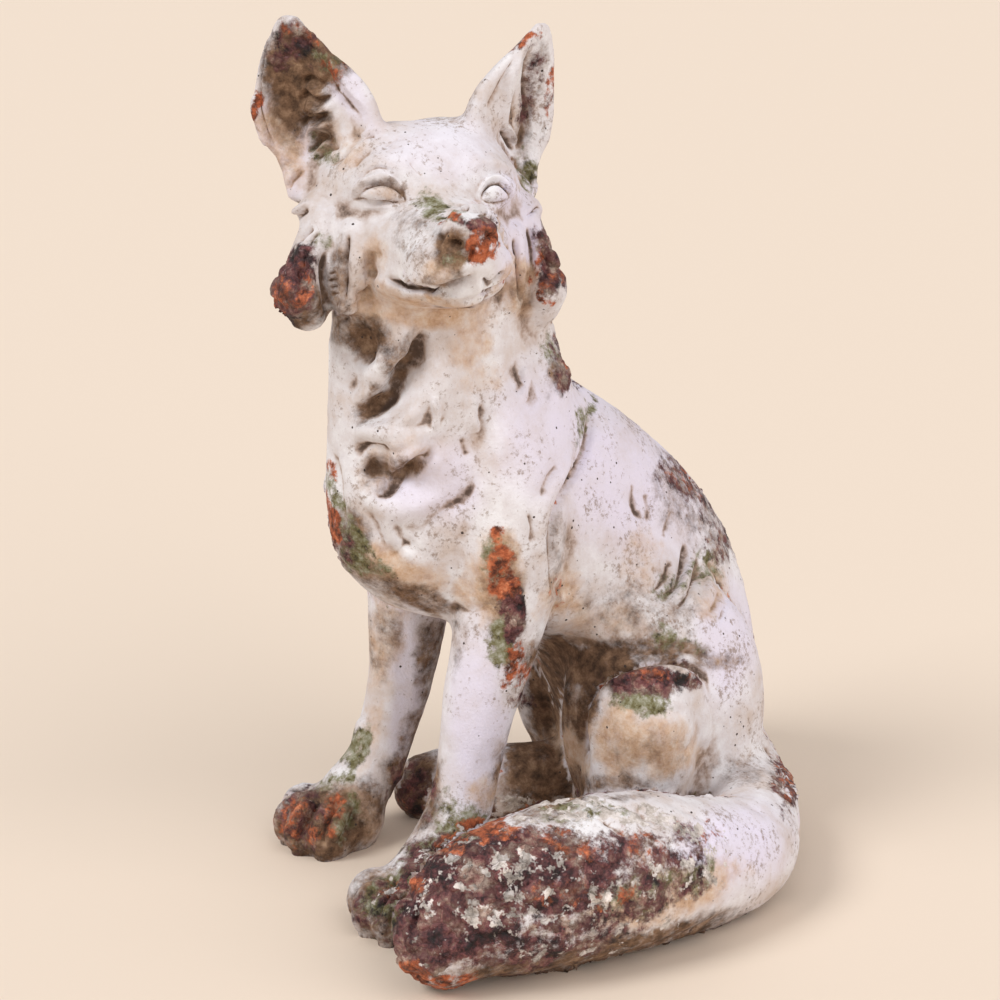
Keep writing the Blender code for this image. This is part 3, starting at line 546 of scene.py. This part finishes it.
def skin_arrays(mesh):
    """Points, triangles and edges of a mesh."""
    mesh.calc_loop_triangles()
    co = np.empty(len(mesh.vertices) * 3)
    mesh.vertices.foreach_get("co", co)
    tris = np.empty(len(mesh.loop_triangles) * 3, np.int64)
    mesh.loop_triangles.foreach_get("vertices", tris)
    edges = np.empty(len(mesh.edges) * 2, np.int64)
    mesh.edges.foreach_get("vertices", edges)
    return co.reshape(-1, 3), tris.reshape(-1, 3), edges.reshape(-1, 2)


def neighbour_mean(co, edges):
    count = len(co)
    a, b = edges[:, 0], edges[:, 1]
    degree = np.bincount(a, minlength=count) + np.bincount(b, minlength=count)
    out = np.empty_like(co)
    for axis in range(3):
        out[:, axis] = np.bincount(a, co[b, axis], count) + np.bincount(b, co[a, axis], count)
    return out / np.maximum(degree, 1)[:, None]


def vertex_normals(co, tris):
    face = np.cross(co[tris[:, 1]] - co[tris[:, 0]], co[tris[:, 2]] - co[tris[:, 0]])
    out = np.zeros_like(co)
    for axis in range(3):
        for corner in range(3):
            out[:, axis] += np.bincount(tris[:, corner], face[:, axis], len(co))
    return out / np.maximum(np.linalg.norm(out, axis=1), 1e-12)[:, None]


def relax(co, edges, passes, share):
    for _ in range(passes):
        co = co + (0.5 * share)[:, None] * (neighbour_mean(co, edges) - co)
    return co


def fill_hollows(co, edges, tris, passes):
    for _ in range(passes):
        move = neighbour_mean(co, edges) - co
        outward = np.einsum('ij,ij->i', move, vertex_normals(co, tris)) > 0
        co = co + move * (0.5 * outward)[:, None]
    return co


def ball(mid, radii, points=24):
    """Points and faces of a closed ellipsoid."""
    mid, radii = np.asarray(mid, float), np.asarray(radii, float)
    verts = [mid - (0, 0, radii[2]), mid + (0, 0, radii[2])]
    faces = []
    rows = points // 2
    for r in range(1, rows):
        lean = math.pi * r / rows
        for k in range(points):
            t = 2 * math.pi * k / points
            verts.append(mid + radii * (math.sin(lean) * math.cos(t), math.sin(lean) * math.sin(t),
                                        -math.cos(lean)))
    for k in range(points):
        after = (k + 1) % points
        faces.append((0, 2 + after, 2 + k))
        top = 2 + (rows - 2) * points
        faces.append((1, top + k, top + after))
        for r in range(rows - 2):
            a = 2 + r * points
            faces.append((a + k, a + after, a + points + after, a + points + k))
    return verts, faces


def head_frame():
    """Turn and place of the head, as in the solid: 65 degrees to its left, raised and leaning."""
    z, x, y = math.radians(65.0), math.radians(-9.5), math.radians(2.9)
    turn_z = np.array(((math.cos(z), -math.sin(z), 0), (math.sin(z), math.cos(z), 0), (0, 0, 1)))
    turn_x = np.array(((1, 0, 0), (0, math.cos(x), -math.sin(x)), (0, math.sin(x), math.cos(x))))
    turn_y = np.array(((math.cos(y), 0, math.sin(y)), (0, 1, 0), (-math.sin(y), 0, math.cos(y))))
    return turn_z @ turn_x @ turn_y, np.array((0.0, 33.0, 397.0))


# Forms too small for the solid, in the frame of the head: middle and half sizes, mirrored
HEAD_FORMS = (
    ((67, -9, -60), (12, 12, 16)),
    ((31.7, -38.5, 0.5), (12.5, 8, 8)),
)


def modified(mesh, kind, **settings):
    """A new mesh in place of the old one, changed by one modifier."""
    body = bpy.data.objects.new("body", mesh)
    bpy.context.collection.objects.link(body)
    modifier = body.modifiers.new("change", kind)
    for name, value in settings.items():
        setattr(modifier, name, value)
    out = bpy.data.meshes.new_from_object(body.evaluated_get(bpy.context.evaluated_depsgraph_get()))
    bpy.data.objects.remove(body, do_unlink=True)
    bpy.data.meshes.remove(mesh)
    return out


def fused_skin(cell):
    """One even skin round the solid and the small forms, in figure units."""
    matrix = np.array(SOLID.matrix_world)
    co, tris, _ = skin_arrays(SOLID.data)
    co = (co @ matrix[:3, :3].T + matrix[:3, 3]) / UNIT + FIGURE_MIDDLE
    verts = co.tolist()
    faces = tris.tolist()
    turn, place = head_frame()
    for mid, radii in HEAD_FORMS:
        for side in (-1, 1):
            points, sides = ball((mid[0] * side, mid[1], mid[2]), radii)
            base = len(verts)
            verts.extend((np.array(points) @ turn.T + place).tolist())
            faces.extend([[i + base for i in f] for f in sides])
    mesh = bpy.data.meshes.new("forms")
    mesh.from_pydata(verts, [], faces)
    return modified(mesh, 'REMESH', mode='VOXEL', voxel_size=cell)


def refined(skin, chosen):
    """Splits the faces of the skin in four between the chosen points."""
    bm = bmesh.new()
    bm.from_mesh(skin)
    edges = [e for e in bm.edges if chosen[e.verts[0].index] and chosen[e.verts[1].index]]
    bmesh.ops.subdivide_edges(bm, edges=edges, cuts=1, use_grid_fill=True)
    bmesh.ops.triangulate(bm, faces=bm.faces[:])
    bm.to_mesh(skin)
    bm.free()


def strongest(uv, spots):
    """The most that any one spot gives each point."""
    out = np.zeros(len(uv))
    for amount, *place in spots:
        reach = (1 + SOFT_EDGE) * max(place[2:4])
        near = np.nonzero((np.abs(uv[:, 0] - place[0]) < reach) & (np.abs(uv[:, 1] - place[1]) < reach))[0]
        out[near] = np.maximum(out[near], amount * spot(uv[near], *place))
    return out


def near_brush(co):
    """1 on the brush, told from the body by its distance from the brush's midline."""
    return 1 - smoothstep(44, 54, np.abs(beside(co, BRUSH_MIDLINE)[0]))


def painted(co, normals, names=tuple(PATCHES)):
    """Amount of each named stain, growth and painted shade at each point, as laid out from the front
    left, and a plainer scatter of them on the sides turned away."""
    uv, _ = FRONT_LEFT.flat(co)
    uv = uv + np.stack([8 * soft_noise(co, 18, seed) + 4 * soft_noise(co, 6, seed + 1) for seed in (31, 33)],
                       axis=1)
    shown = FRONT_LEFT.seen(co, normals, facing=(-0.25, 0.05))
    low = 1 - smoothstep(10, 90, co[:, 2])
    brush = near_brush(co)
    hidden = {
        # Darker towards the bottom and, as painted shade, on faces turned down, with grime in a random
        # scatter
        'grime_and_shade': lambda: (0.12 + 0.3 * low + 0.35 * smoothstep(0, 0.6, -normals[:, 2])
                          + 0.3 * rough_noise(co, 46, 41)),
        'tan_and_shade': lambda: 0.25 + 0.3 * rough_noise(co, 40, 42),
        'moss': lambda: 0.2 * low + 0.6 * smoothstep(0.4, 0.9, rough_noise(co, 50, 43)),
        'rust': lambda: 0.6 * smoothstep(0.5, 0.9, rough_noise(co, 36, 44)) + 0.35 * brush,
        'plum': lambda: 0.62 * smoothstep(0.4, 0.85, rough_noise(co, 55, 45)) + 0.6 * brush,
        'scabs': lambda: 0.4 * smoothstep(0.4, 0.8, rough_noise(co, 44, 46)) + 0.5 * brush,
        'lavender': lambda: 0.4 + 0.4 * rough_noise(co, 60, 47),
    }
    return {name: np.clip(shown * strongest(uv, PATCHES[name]) + (1 - shown) * hidden[name](), 0, 1)
            for name in names}


def crust_height(co, coats):
    """Scales and nodules of the growth, in shares of its full height."""
    amount = np.clip(np.maximum(coats['plum'], 0.8 * coats['scabs']) * 1.3 - 0.2, 0, 1)
    height = np.zeros(len(co))
    index = np.nonzero(amount > 0.02)[0]
    if len(index):
        p = co[index] + 2.0 * np.stack([soft_noise(co[index], 7, s) for s in (51, 52, 53)], axis=1)
        coarse, mark = nodules(p, 11.0, 54)
        fine, _ = nodules(p, 5.0, 60)
        height[index] = amount[index] * (coarse * (0.25 + 0.75 * mark) + 0.4 * fine
                                         + 0.45 * rough_noise(p, 12, 66) - 0.35)
    return height


def carved_figure(settings):
    """Mesh of the finished figure in metres, with its stains, growth, dust and painted shade as colour
    attributes.
    """
    skin = fused_skin(settings.skin_cell * (1.0))
    co, tris, edges = skin_arrays(skin)
    normals = vertex_normals(co, tris)
    if np.einsum('ij,ij->i', co - co.mean(axis=0), normals).mean() < 0:
        skin.flip_normals()
        co, tris, edges = skin_arrays(skin)
    head = smoothstep(*HEAD_BASE, co[:, 2])
    paws = ((1 - smoothstep(*PAW_TOP, co[:, 2])) * (1 - smoothstep(*PAW_BACK, co[:, 1]))
            * (co[:, 0] < PAW_SIDE))
    co = relax(co, edges, 24, 1 - 0.8 * np.maximum(head, paws))
    co = fill_hollows(co, edges, tris, 4)
    skin.vertices.foreach_set("co", co.ravel())
    normals = vertex_normals(co, tris)
    fine = (FRONT_LEFT.seen(co, normals, facing=(-0.2, 0.0)) > 0.3)
    fine &= (co[:, 2] > 215) | (near_brush(co) > 0.5) | (co[:, 1] < 40)
    refined(skin, fine)
    co, tris, edges = skin_arrays(skin)
    co = relax(co, edges, 2, np.ones(len(co)))
    uv, depth = FRONT_LEFT.flat(co)
    for across, down, *place in SHIFTS:
        part = spot(uv, *place, edge=0.9) * depth / FRONT_LEFT.focus
        co = co + part[:, None] * (across * FRONT_LEFT.right - down * FRONT_LEFT.up)
    uv, _ = FRONT_LEFT.flat(co)
    normals = vertex_normals(co, tris)
    seen = FRONT_LEFT.seen(co, normals)
    height, _ = carve(co, normals, seen, uv, ALL_STROKES)
    for amount, *place in SWELLS:
        height += amount * spot(uv, *place, edge=0.6) * seen
    co = co + normals * (height * settings.carving_depth)[:, None]
    co = relax(co, edges, 1, np.ones(len(co)))
    normals = vertex_normals(co, tris)
    coats = painted(co, normals, ('plum', 'scabs'))
    height = 0.35 * soft_noise(co, 20, 21) + 0.16 * rough_noise(co, 6, 22)
    height += settings.crust_height / (1000 * UNIT) * crust_height(co, coats)
    co = co + normals * height[:, None]
    co[:, 2] = np.where((normals[:, 2] < -0.6) & (co[:, 2] < 2.0), 0.0, np.maximum(co[:, 2], 0.0))
    skin.vertices.foreach_set("co", co.ravel())
    figure = modified(skin, 'DECIMATE', ratio=settings.facets / max(len(skin.polygons), settings.facets))
    co, tris, edges = skin_arrays(figure)
    normals = vertex_normals(co, tris)
    coats = painted(co, normals)
    uv, _ = FRONT_LEFT.flat(co)
    _, cut = carve(co, normals, FRONT_LEFT.seen(co, normals), uv, ALL_STROKES)
    every = np.ones(len(co))
    near = relax(co, edges, 5, every)
    wide = relax(near, edges, 40, every)
    near = np.einsum('ij,ij->i', near - co, normals)
    wide = np.einsum('ij,ij->i', wide - co, normals)
    # How deep each point lies in the hollows and cuts, for darkening the wash there with dust and painted
    # shade
    hollow = np.clip(0.4 * near / 0.5 + 0.55 * wide / 2.4 + 0.3 * cut, 0, 1)
    # The stains attribute holds grime, tan, moss and rust, the first two with painted shade; the growth
    # attribute holds crust, scabs, the dust and painted shade of the hollows, and the lavender bloom
    for name, layers in (("stains", (coats['grime_and_shade'], coats['tan_and_shade'], coats['moss'], coats['rust'])),
                         ("growth", (coats['plum'], coats['scabs'], hollow, coats['lavender']))):
        colours = figure.color_attributes.new(name, 'FLOAT_COLOR', 'POINT')
        colours.data.foreach_set("color", np.stack(layers, axis=1).astype(np.float32).ravel())
    figure.vertices.foreach_set("co", ((co - FIGURE_MIDDLE) * UNIT).ravel())
    figure.polygons.foreach_set("use_smooth", np.ones(len(figure.polygons), bool))
    figure.update()
    return figure


# The finish

def add(tree, kind, links=None, **settings):
    """Adds a node with its settings, its inputs as values or links, and hands back its outputs."""
    node = tree.nodes.new('ShaderNode' + kind)
    for name, value in settings.items():
        setattr(node, name, value)
    for key, value in (links or {}).items():
        if isinstance(value, bpy.types.NodeSocket):
            tree.links.new(value, node.inputs[key])
        else:
            node.inputs[key].default_value = value
    return node.outputs


def per_metre(mm):
    """Scale of a pattern whose features are this many millimetres wide."""
    return 1000.0 / mm


def ramp(tree, source, stops):
    out = add(tree, 'ValToRGB', {0: source})[0]
    band = out.node.color_ramp
    while len(band.elements) < len(stops):
        band.elements.new(0.5)
    for element, (place, code) in zip(band.elements, stops):
        element.position = place
        element.color = linear(code)
    return out


# Coats over the limewash: layer, size of its patches in mm, finer octaves, how ragged, least amount,
# softness, size of its mottling in mm, colours
COATS = (
    # The tan and grime coats also give painted shade: brown under the jaw, in the chest folds, under the
    # belly and brush and between the legs
    ('tan_and_shade', 14, 7, 0.8, 0.48, 0.45, 8, ((0.32, "#DED0C3"), (0.5, "#CCAE93"), (0.66, "#AE896C"))),
    ('grime_and_shade', 9, 8, 0.9, 0.48, 0.40, 10,
     ((0.34, "#A3876E"), (0.47, "#7A5F4A"), (0.56, "#584333"), (0.66, "#35271E"))),
    ('moss', 7, 8, 1.2, 0.54, 0.24, 6,
     ((0.36, "#ABAB9D"), (0.46, "#86856C"), (0.54, "#696341"), (0.62, "#3A3726"))),
    ('plum', 8, 7, 1.1, 0.46, 0.20, 16,
     ((0.38, "#1C1819"), (0.44, "#3F2428"), (0.5, "#6A4041"), (0.55, "#7C5C54"), (0.62, "#A89589"))),
    ('rust', 7, 7, 1.3, 0.64, 0.20, 7,
     ((0.38, "#47281D"), (0.46, "#7F452F"), (0.53, "#AF5E3C"), (0.64, "#CF8560"))),
    ('scabs', 10, 3, 2.1, 0.82, 0.12, 9, ((0.36, "#7E7670"), (0.48, "#B9B1AA"), (0.6, "#E4DEDC"))),
)


def limewashed_clay(settings):
    """Red clay, fired and brushed with limewash: matt, off-white, stained and grown over, with painted shade
    in its hollows and under the body.
    """
    material = bpy.data.materials.new("limewashed fired clay, weathered, with painted shade")
    material.use_nodes = True
    tree = material.node_tree
    shader = tree.nodes["Principled BSDF"]
    place = add(tree, 'TexCoord')["Object"]
    stains = add(tree, 'Attribute', attribute_name="stains")
    growth = add(tree, 'Attribute', attribute_name="growth")
    stain = add(tree, 'SeparateColor', {0: stains["Color"]})
    grown = add(tree, 'SeparateColor', {0: growth["Color"]})
    # Grime and tan carry painted shade as well as stains; the third growth channel is dust and painted shade
    # in the hollows
    layers = {'grime_and_shade': stain[0], 'tan_and_shade': stain[1], 'moss': stain[2], 'rust': stains["Alpha"],
              'plum': grown[0], 'scabs': grown[1], 'hollow': grown[2], 'lavender': growth["Alpha"]}

    # Limewash: brushed on thin, so warm and cool whites drift over some 40 mm
    drift = add(tree, 'TexNoise', {'Vector': place, 'Scale': per_metre(32), 'Detail': 9.0,
                                   'Roughness': 0.68})[0]
    cool = add(tree, 'Math', {0: layers['lavender'], 1: drift}, operation='MULTIPLY')[0]
    cool = add(tree, 'Math', {0: cool, 1: 2.0}, operation='MULTIPLY', use_clamp=True)[0]
    colour = ramp(tree, drift, ((0.34, settings.wash_shade), (0.5, settings.wash),
                                (0.62, settings.wash_light)))
    colour = add(tree, 'Mix', {0: cool, 6: colour, 7: linear(settings.wash_cool)}, data_type='RGBA')[2]

    # Soot in the grain: flecks of some 2 mm, thick in some places and few in others
    fleck = add(tree, 'TexNoise', {'Vector': place, 'Scale': per_metre(3.2), 'Detail': 6.0,
                                   'Roughness': 0.75})[0]
    thick = add(tree, 'TexNoise', {'Vector': place, 'Scale': per_metre(38), 'Detail': 4.0,
                                   'Roughness': 0.6})[0]
    thick = add(tree, 'MapRange', {0: thick, 1: 0.4, 2: 0.65, 3: -0.08, 4: 0.07})[0]
    fleck = add(tree, 'Math', {0: fleck, 1: thick}, operation='ADD')[0]
    fleck = add(tree, 'MapRange', {0: fleck, 1: 0.52, 2: 0.68, 3: 0.0, 4: 0.75},
                interpolation_type='SMOOTHSTEP')[0]
    colour = add(tree, 'Mix', {0: fleck, 6: colour, 7: linear("#8C7768")}, data_type='RGBA')[2]

    # Dust caught in the hollows, and painted shade there: the wash darkened in hollows and cuts as if less
    # light reached them
    worn = add(tree, 'TexNoise', {'Vector': place, 'Scale': per_metre(5), 'Detail': 6.0,
                                  'Roughness': 0.65})[0]
    depth = add(tree, 'Math', {0: layers['hollow'], 1: worn}, operation='MULTIPLY')[0]
    for least, most, amount, shade in ((0.06, 0.34, 0.75, "#A88D7A"), (0.20, 0.50, 0.92, "#4E3D33")):
        hollow_darkening = add(tree, 'MapRange', {0: depth, 1: least, 2: most, 3: 0.0, 4: amount},
                   interpolation_type='SMOOTHSTEP')[0]
        colour = add(tree, 'Mix', {0: hollow_darkening, 6: colour, 7: linear(shade)}, data_type='RGBA')[2]

    # Stains and growth, each ragged at its own scale
    cover = None
    for k, (name, size, octaves, ragged, least, soft, mottle, colours) in enumerate(COATS):
        patchy = add(tree, 'TexNoise', {'Vector': place, 'W': 7.0 * k, 'Scale': per_metre(size),
                                        'Detail': float(octaves), 'Roughness': 0.7},
                     noise_dimensions='4D')[0]
        amount = add(tree, 'Math', {0: patchy, 1: 0.5}, operation='SUBTRACT')[0]
        amount = add(tree, 'Math', {0: amount, 1: 2 * ragged, 2: layers[name]}, operation='MULTIPLY_ADD')[0]
        amount = add(tree, 'MapRange', {0: amount, 1: least - soft, 2: least + soft, 3: 0.0, 4: 1.0},
                     interpolation_type='SMOOTHSTEP')[0]
        # No growth where none is painted, whatever the noise says
        gate = add(tree, 'MapRange', {0: layers[name], 1: 0.02, 2: 0.2, 3: 0.0, 4: 1.0})[0]
        amount = add(tree, 'Math', {0: amount, 1: gate}, operation='MULTIPLY')[0]
        tint = add(tree, 'TexNoise', {'Vector': place, 'W': 7.0 * k + 3, 'Scale': per_metre(mottle),
                                      'Detail': 8.0, 'Roughness': 0.72}, noise_dimensions='4D')[0]
        colour = add(tree, 'Mix', {0: amount, 6: colour, 7: ramp(tree, tint, colours)}, data_type='RGBA')[2]
        if name == 'plum':
            cover = amount

    # The thick growth breaks into warped scales of some 6 mm, each in its own shade, with dark cracks
    bend = add(tree, 'TexNoise', {'Vector': place, 'Scale': per_metre(7), 'Detail': 3.0})[1]
    bent = add(tree, 'VectorMath', {0: bend, 1: (0.006, 0.006, 0.006), 2: place},
               operation='MULTIPLY_ADD')[0]
    scales = add(tree, 'TexVoronoi', {'Vector': bent, 'Scale': per_metre(6.5)})
    rims = add(tree, 'TexVoronoi', {'Vector': bent, 'Scale': per_metre(6.5)},
               feature='DISTANCE_TO_EDGE')["Distance"]
    shade = add(tree, 'SeparateColor', {0: scales["Color"]})[0]
    shade = add(tree, 'MapRange', {0: shade, 1: 0.0, 2: 1.0, 3: 0.55, 4: 1.45})[0]
    shade = add(tree, 'CombineColor', {0: shade, 1: shade, 2: shade})[0]
    half = add(tree, 'Math', {0: cover, 1: 0.8}, operation='MULTIPLY')[0]
    colour = add(tree, 'Mix', {0: half, 6: colour, 7: shade}, data_type='RGBA', blend_type='MULTIPLY')[2]
    crack = add(tree, 'MapRange', {0: rims, 1: 0.0, 2: 0.08, 3: 0.4, 4: 0.0})[0]
    crack = add(tree, 'Math', {0: crack, 1: cover}, operation='MULTIPLY')[0]
    colour = add(tree, 'Mix', {0: crack, 6: colour, 7: linear("#1F1918")}, data_type='RGBA')[2]

    # Black pits and specks about 1 mm across
    pits = add(tree, 'TexVoronoi', {'Vector': place, 'Scale': per_metre(5), 'Randomness': 1.0})
    rare = add(tree, 'SeparateColor', {0: pits["Color"]})[0]
    reach = add(tree, 'MapRange', {0: rare, 1: 0.72, 2: 1.0, 3: 0.0, 4: 0.17})[0]
    pit = add(tree, 'Math', {0: pits["Distance"], 1: reach}, operation='LESS_THAN')[0]
    colour = add(tree, 'Mix', {0: pit, 6: colour, 7: linear("#453B37")}, data_type='RGBA')[2]
    tree.links.new(colour, shader.inputs["Base Color"])

    # Matt wash, and a slight sheen on the dark growth
    gloss = add(tree, 'MapRange', {0: cover, 1: 0.0, 2: 1.0, 3: 0.88, 4: 0.62})[0]
    tree.links.new(gloss, shader.inputs["Roughness"])
    shader.inputs["Specular IOR Level"].default_value = 0.35

    # Grain of about 1 mm, and the pits, in relief
    grain = add(tree, 'TexNoise', {'Vector': place, 'Scale': per_metre(1.6), 'Detail': 3.0,
                                   'Roughness': 0.6})[0]
    relief = add(tree, 'Math', {0: pit, 1: -0.6, 2: grain}, operation='MULTIPLY_ADD')[0]
    raised = add(tree, 'MapRange', {0: rims, 1: 0.0, 2: 0.25, 3: 0.0, 4: 3.0},
                 interpolation_type='SMOOTHSTEP')[0]
    relief = add(tree, 'Math', {0: raised, 1: cover, 2: relief}, operation='MULTIPLY_ADD')[0]
    bump = add(tree, 'Bump', {'Strength': 0.45, 'Distance': 0.0008, 'Height': relief})
    tree.links.new(bump[0], shader.inputs["Normal"])
    return material


def plain_material(name, colour, roughness):
    material = bpy.data.materials.new(name)
    material.use_nodes = True
    shader = material.node_tree.nodes["Principled BSDF"]
    shader.inputs["Base Color"].default_value = linear(colour)
    shader.inputs["Roughness"].default_value = roughness
    shader.inputs["Specular IOR Level"].default_value = 0.2
    return material


# Add-on

class FoxSettings(bpy.types.PropertyGroup):
    skin_cell: bpy.props.FloatProperty(
        name="Skin cell", description="Cell of the fused skin, in figure units of about a millimetre",
        default=1.25, min=0.8, max=4.0)
    facets: bpy.props.IntProperty(
        name="Facets", description="Triangles of the finished figure", default=194000, min=20000, max=199000)
    carving_depth: bpy.props.FloatProperty(
        name="Carving depth", description="Share of the full depth of the carving", default=1.5, min=0.0,
        max=2.0, subtype='FACTOR')
    crust_height: bpy.props.FloatProperty(
        name="Crust height", description="Height of the scales of growth, in millimetres", default=3.4,
        min=0.0, max=5.0)
    wash: bpy.props.StringProperty(
        name="Limewash", description="sRGB hex colour of the limewash", default="#DAD6D9")
    wash_light: bpy.props.StringProperty(
        name="Fresh limewash", description="sRGB hex colour where the wash is thick", default="#E8E8EC")
    wash_shade: bpy.props.StringProperty(
        name="Thin limewash", description="sRGB hex colour where the wash is thin", default="#CABDB6")
    wash_cool: bpy.props.StringProperty(
        name="Cool limewash", description="sRGB hex colour of its lavender bloom", default="#E2DDF0")


class StageSettings(bpy.types.PropertyGroup):
    floor: bpy.props.StringProperty(
        name="Floor", description="sRGB hex colour of the floor", default="#EADCCC")
    floor_size: bpy.props.FloatProperty(
        name="Floor size", description="Side of the floor", default=80.0, min=1.0, unit='LENGTH')
    key_power: bpy.props.FloatProperty(
        name="Key light", description="Strength of the soft sun at the upper left", default=1.45, min=0.0)
    fill_power: bpy.props.FloatProperty(
        name="Fill light", description="Strength of the wide sun at the right", default=1.3, min=0.0)
    sky: bpy.props.FloatProperty(
        name="Studio glow", description="Strength of the even light all round", default=0.56, min=0.0)


class FOX_OT_figure(bpy.types.Operator):
    """Carves the fox from its solid and gives it its weathered limewash"""
    bl_idname = "fox.figure"
    bl_label = "Carve Fox"

    def execute(self, context):
        settings = context.scene.fox_statue
        figure = carved_figure(settings)
        figure.materials.clear()
        figure.materials.append(limewashed_clay(settings))
        piece = bpy.data.objects.new("fox_figure", figure)
        context.collection.objects.link(piece)
        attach(piece, "root")
        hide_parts("fox")
        return {'FINISHED'}


class FOX_OT_stage(bpy.types.Operator):
    """Sets the floor, the studio light and the camera"""
    bl_idname = "fox.stage"
    bl_label = "Set Stage"

    def execute(self, context):
        settings = context.scene.fox_stage
        scene = context.scene
        half = settings.floor_size / 2
        mesh = bpy.data.meshes.new("floor")
        mesh.from_pydata([(-half, -half, 0), (half, -half, 0), (half, half, 0), (-half, half, 0)], [],
                         [(0, 1, 2, 3)])
        mesh.materials.append(plain_material("painted floor, matt", settings.floor, 0.9))
        floor = bpy.data.objects.new("floor", mesh)
        context.collection.objects.link(floor)

        lens = bpy.data.cameras.new("camera")
        lens.sensor_width = SENSOR_MM
        lens.lens = SENSOR_MM * VIEW_FOCUS / 1000
        camera = bpy.data.objects.new("camera", lens)
        camera.location = (FRONT_LEFT.eye - FIGURE_MIDDLE) * UNIT
        camera.rotation_euler = Vector(FRONT_LEFT.ahead).to_track_quat('-Z', 'Y').to_euler()
        context.collection.objects.link(camera)
        scene.camera = camera

        # Name, degrees round and up, degrees of spread, power and colour
        for name, turn, rise, spread, power, colour in (
                ("key light", VIEW_TURN - 58, 46, 24, settings.key_power, "#FFFDFB"),
                ("fill light", VIEW_TURN + 48, 34, 60, settings.fill_power, "#FFF9F6")):
            way = Vector(toward(turn, rise))
            light = bpy.data.lights.new(name, 'SUN')
            light.angle = math.radians(spread)
            light.energy = power
            light.color = linear(colour)[:3]
            lamp = bpy.data.objects.new(name, light)
            lamp.location = way
            lamp.rotation_euler = (-way).to_track_quat('-Z', 'Y').to_euler()
            context.collection.objects.link(lamp)

        world = bpy.data.worlds.new("studio")
        world.use_nodes = True
        glow = world.node_tree.nodes["Background"]
        glow.inputs[0].default_value = linear("#FBF6F4")
        glow.inputs[1].default_value = settings.sky
        scene.world = world
        scene.view_settings.view_transform = 'Standard'
        return {'FINISHED'}


class FOX_PT_panel(bpy.types.Panel):
    """Lists the statue's sizes, its colours and its steps"""
    bl_label = "Fox Statue"
    bl_idname = "FOX_PT_panel"
    bl_space_type = 'VIEW_3D'
    bl_region_type = 'UI'
    bl_category = "Fox"

    def draw(self, context):
        layout = self.layout
        for group, operator in ((context.scene.fox_statue, FOX_OT_figure),
                                (context.scene.fox_stage, FOX_OT_stage)):
            column = layout.column(align=True)
            for name in group.bl_rna.properties.keys():
                if name not in ("rna_type", "name"):
                    column.prop(group, name)
            column.operator(operator.bl_idname)


CLASSES = (FoxSettings, StageSettings, FOX_OT_figure, FOX_OT_stage, FOX_PT_panel)


def register():
    for cls in CLASSES:
        bpy.utils.register_class(cls)
    bpy.types.Scene.fox_statue = bpy.props.PointerProperty(type=FoxSettings)
    bpy.types.Scene.fox_stage = bpy.props.PointerProperty(type=StageSettings)


def unregister():
    del bpy.types.Scene.fox_stage
    del bpy.types.Scene.fox_statue
    for cls in reversed(CLASSES):
        bpy.utils.unregister_class(cls)


def main():
    register()
    bpy.ops.fox.figure()
    bpy.ops.fox.stage()


if __name__ == "__main__":
    main()
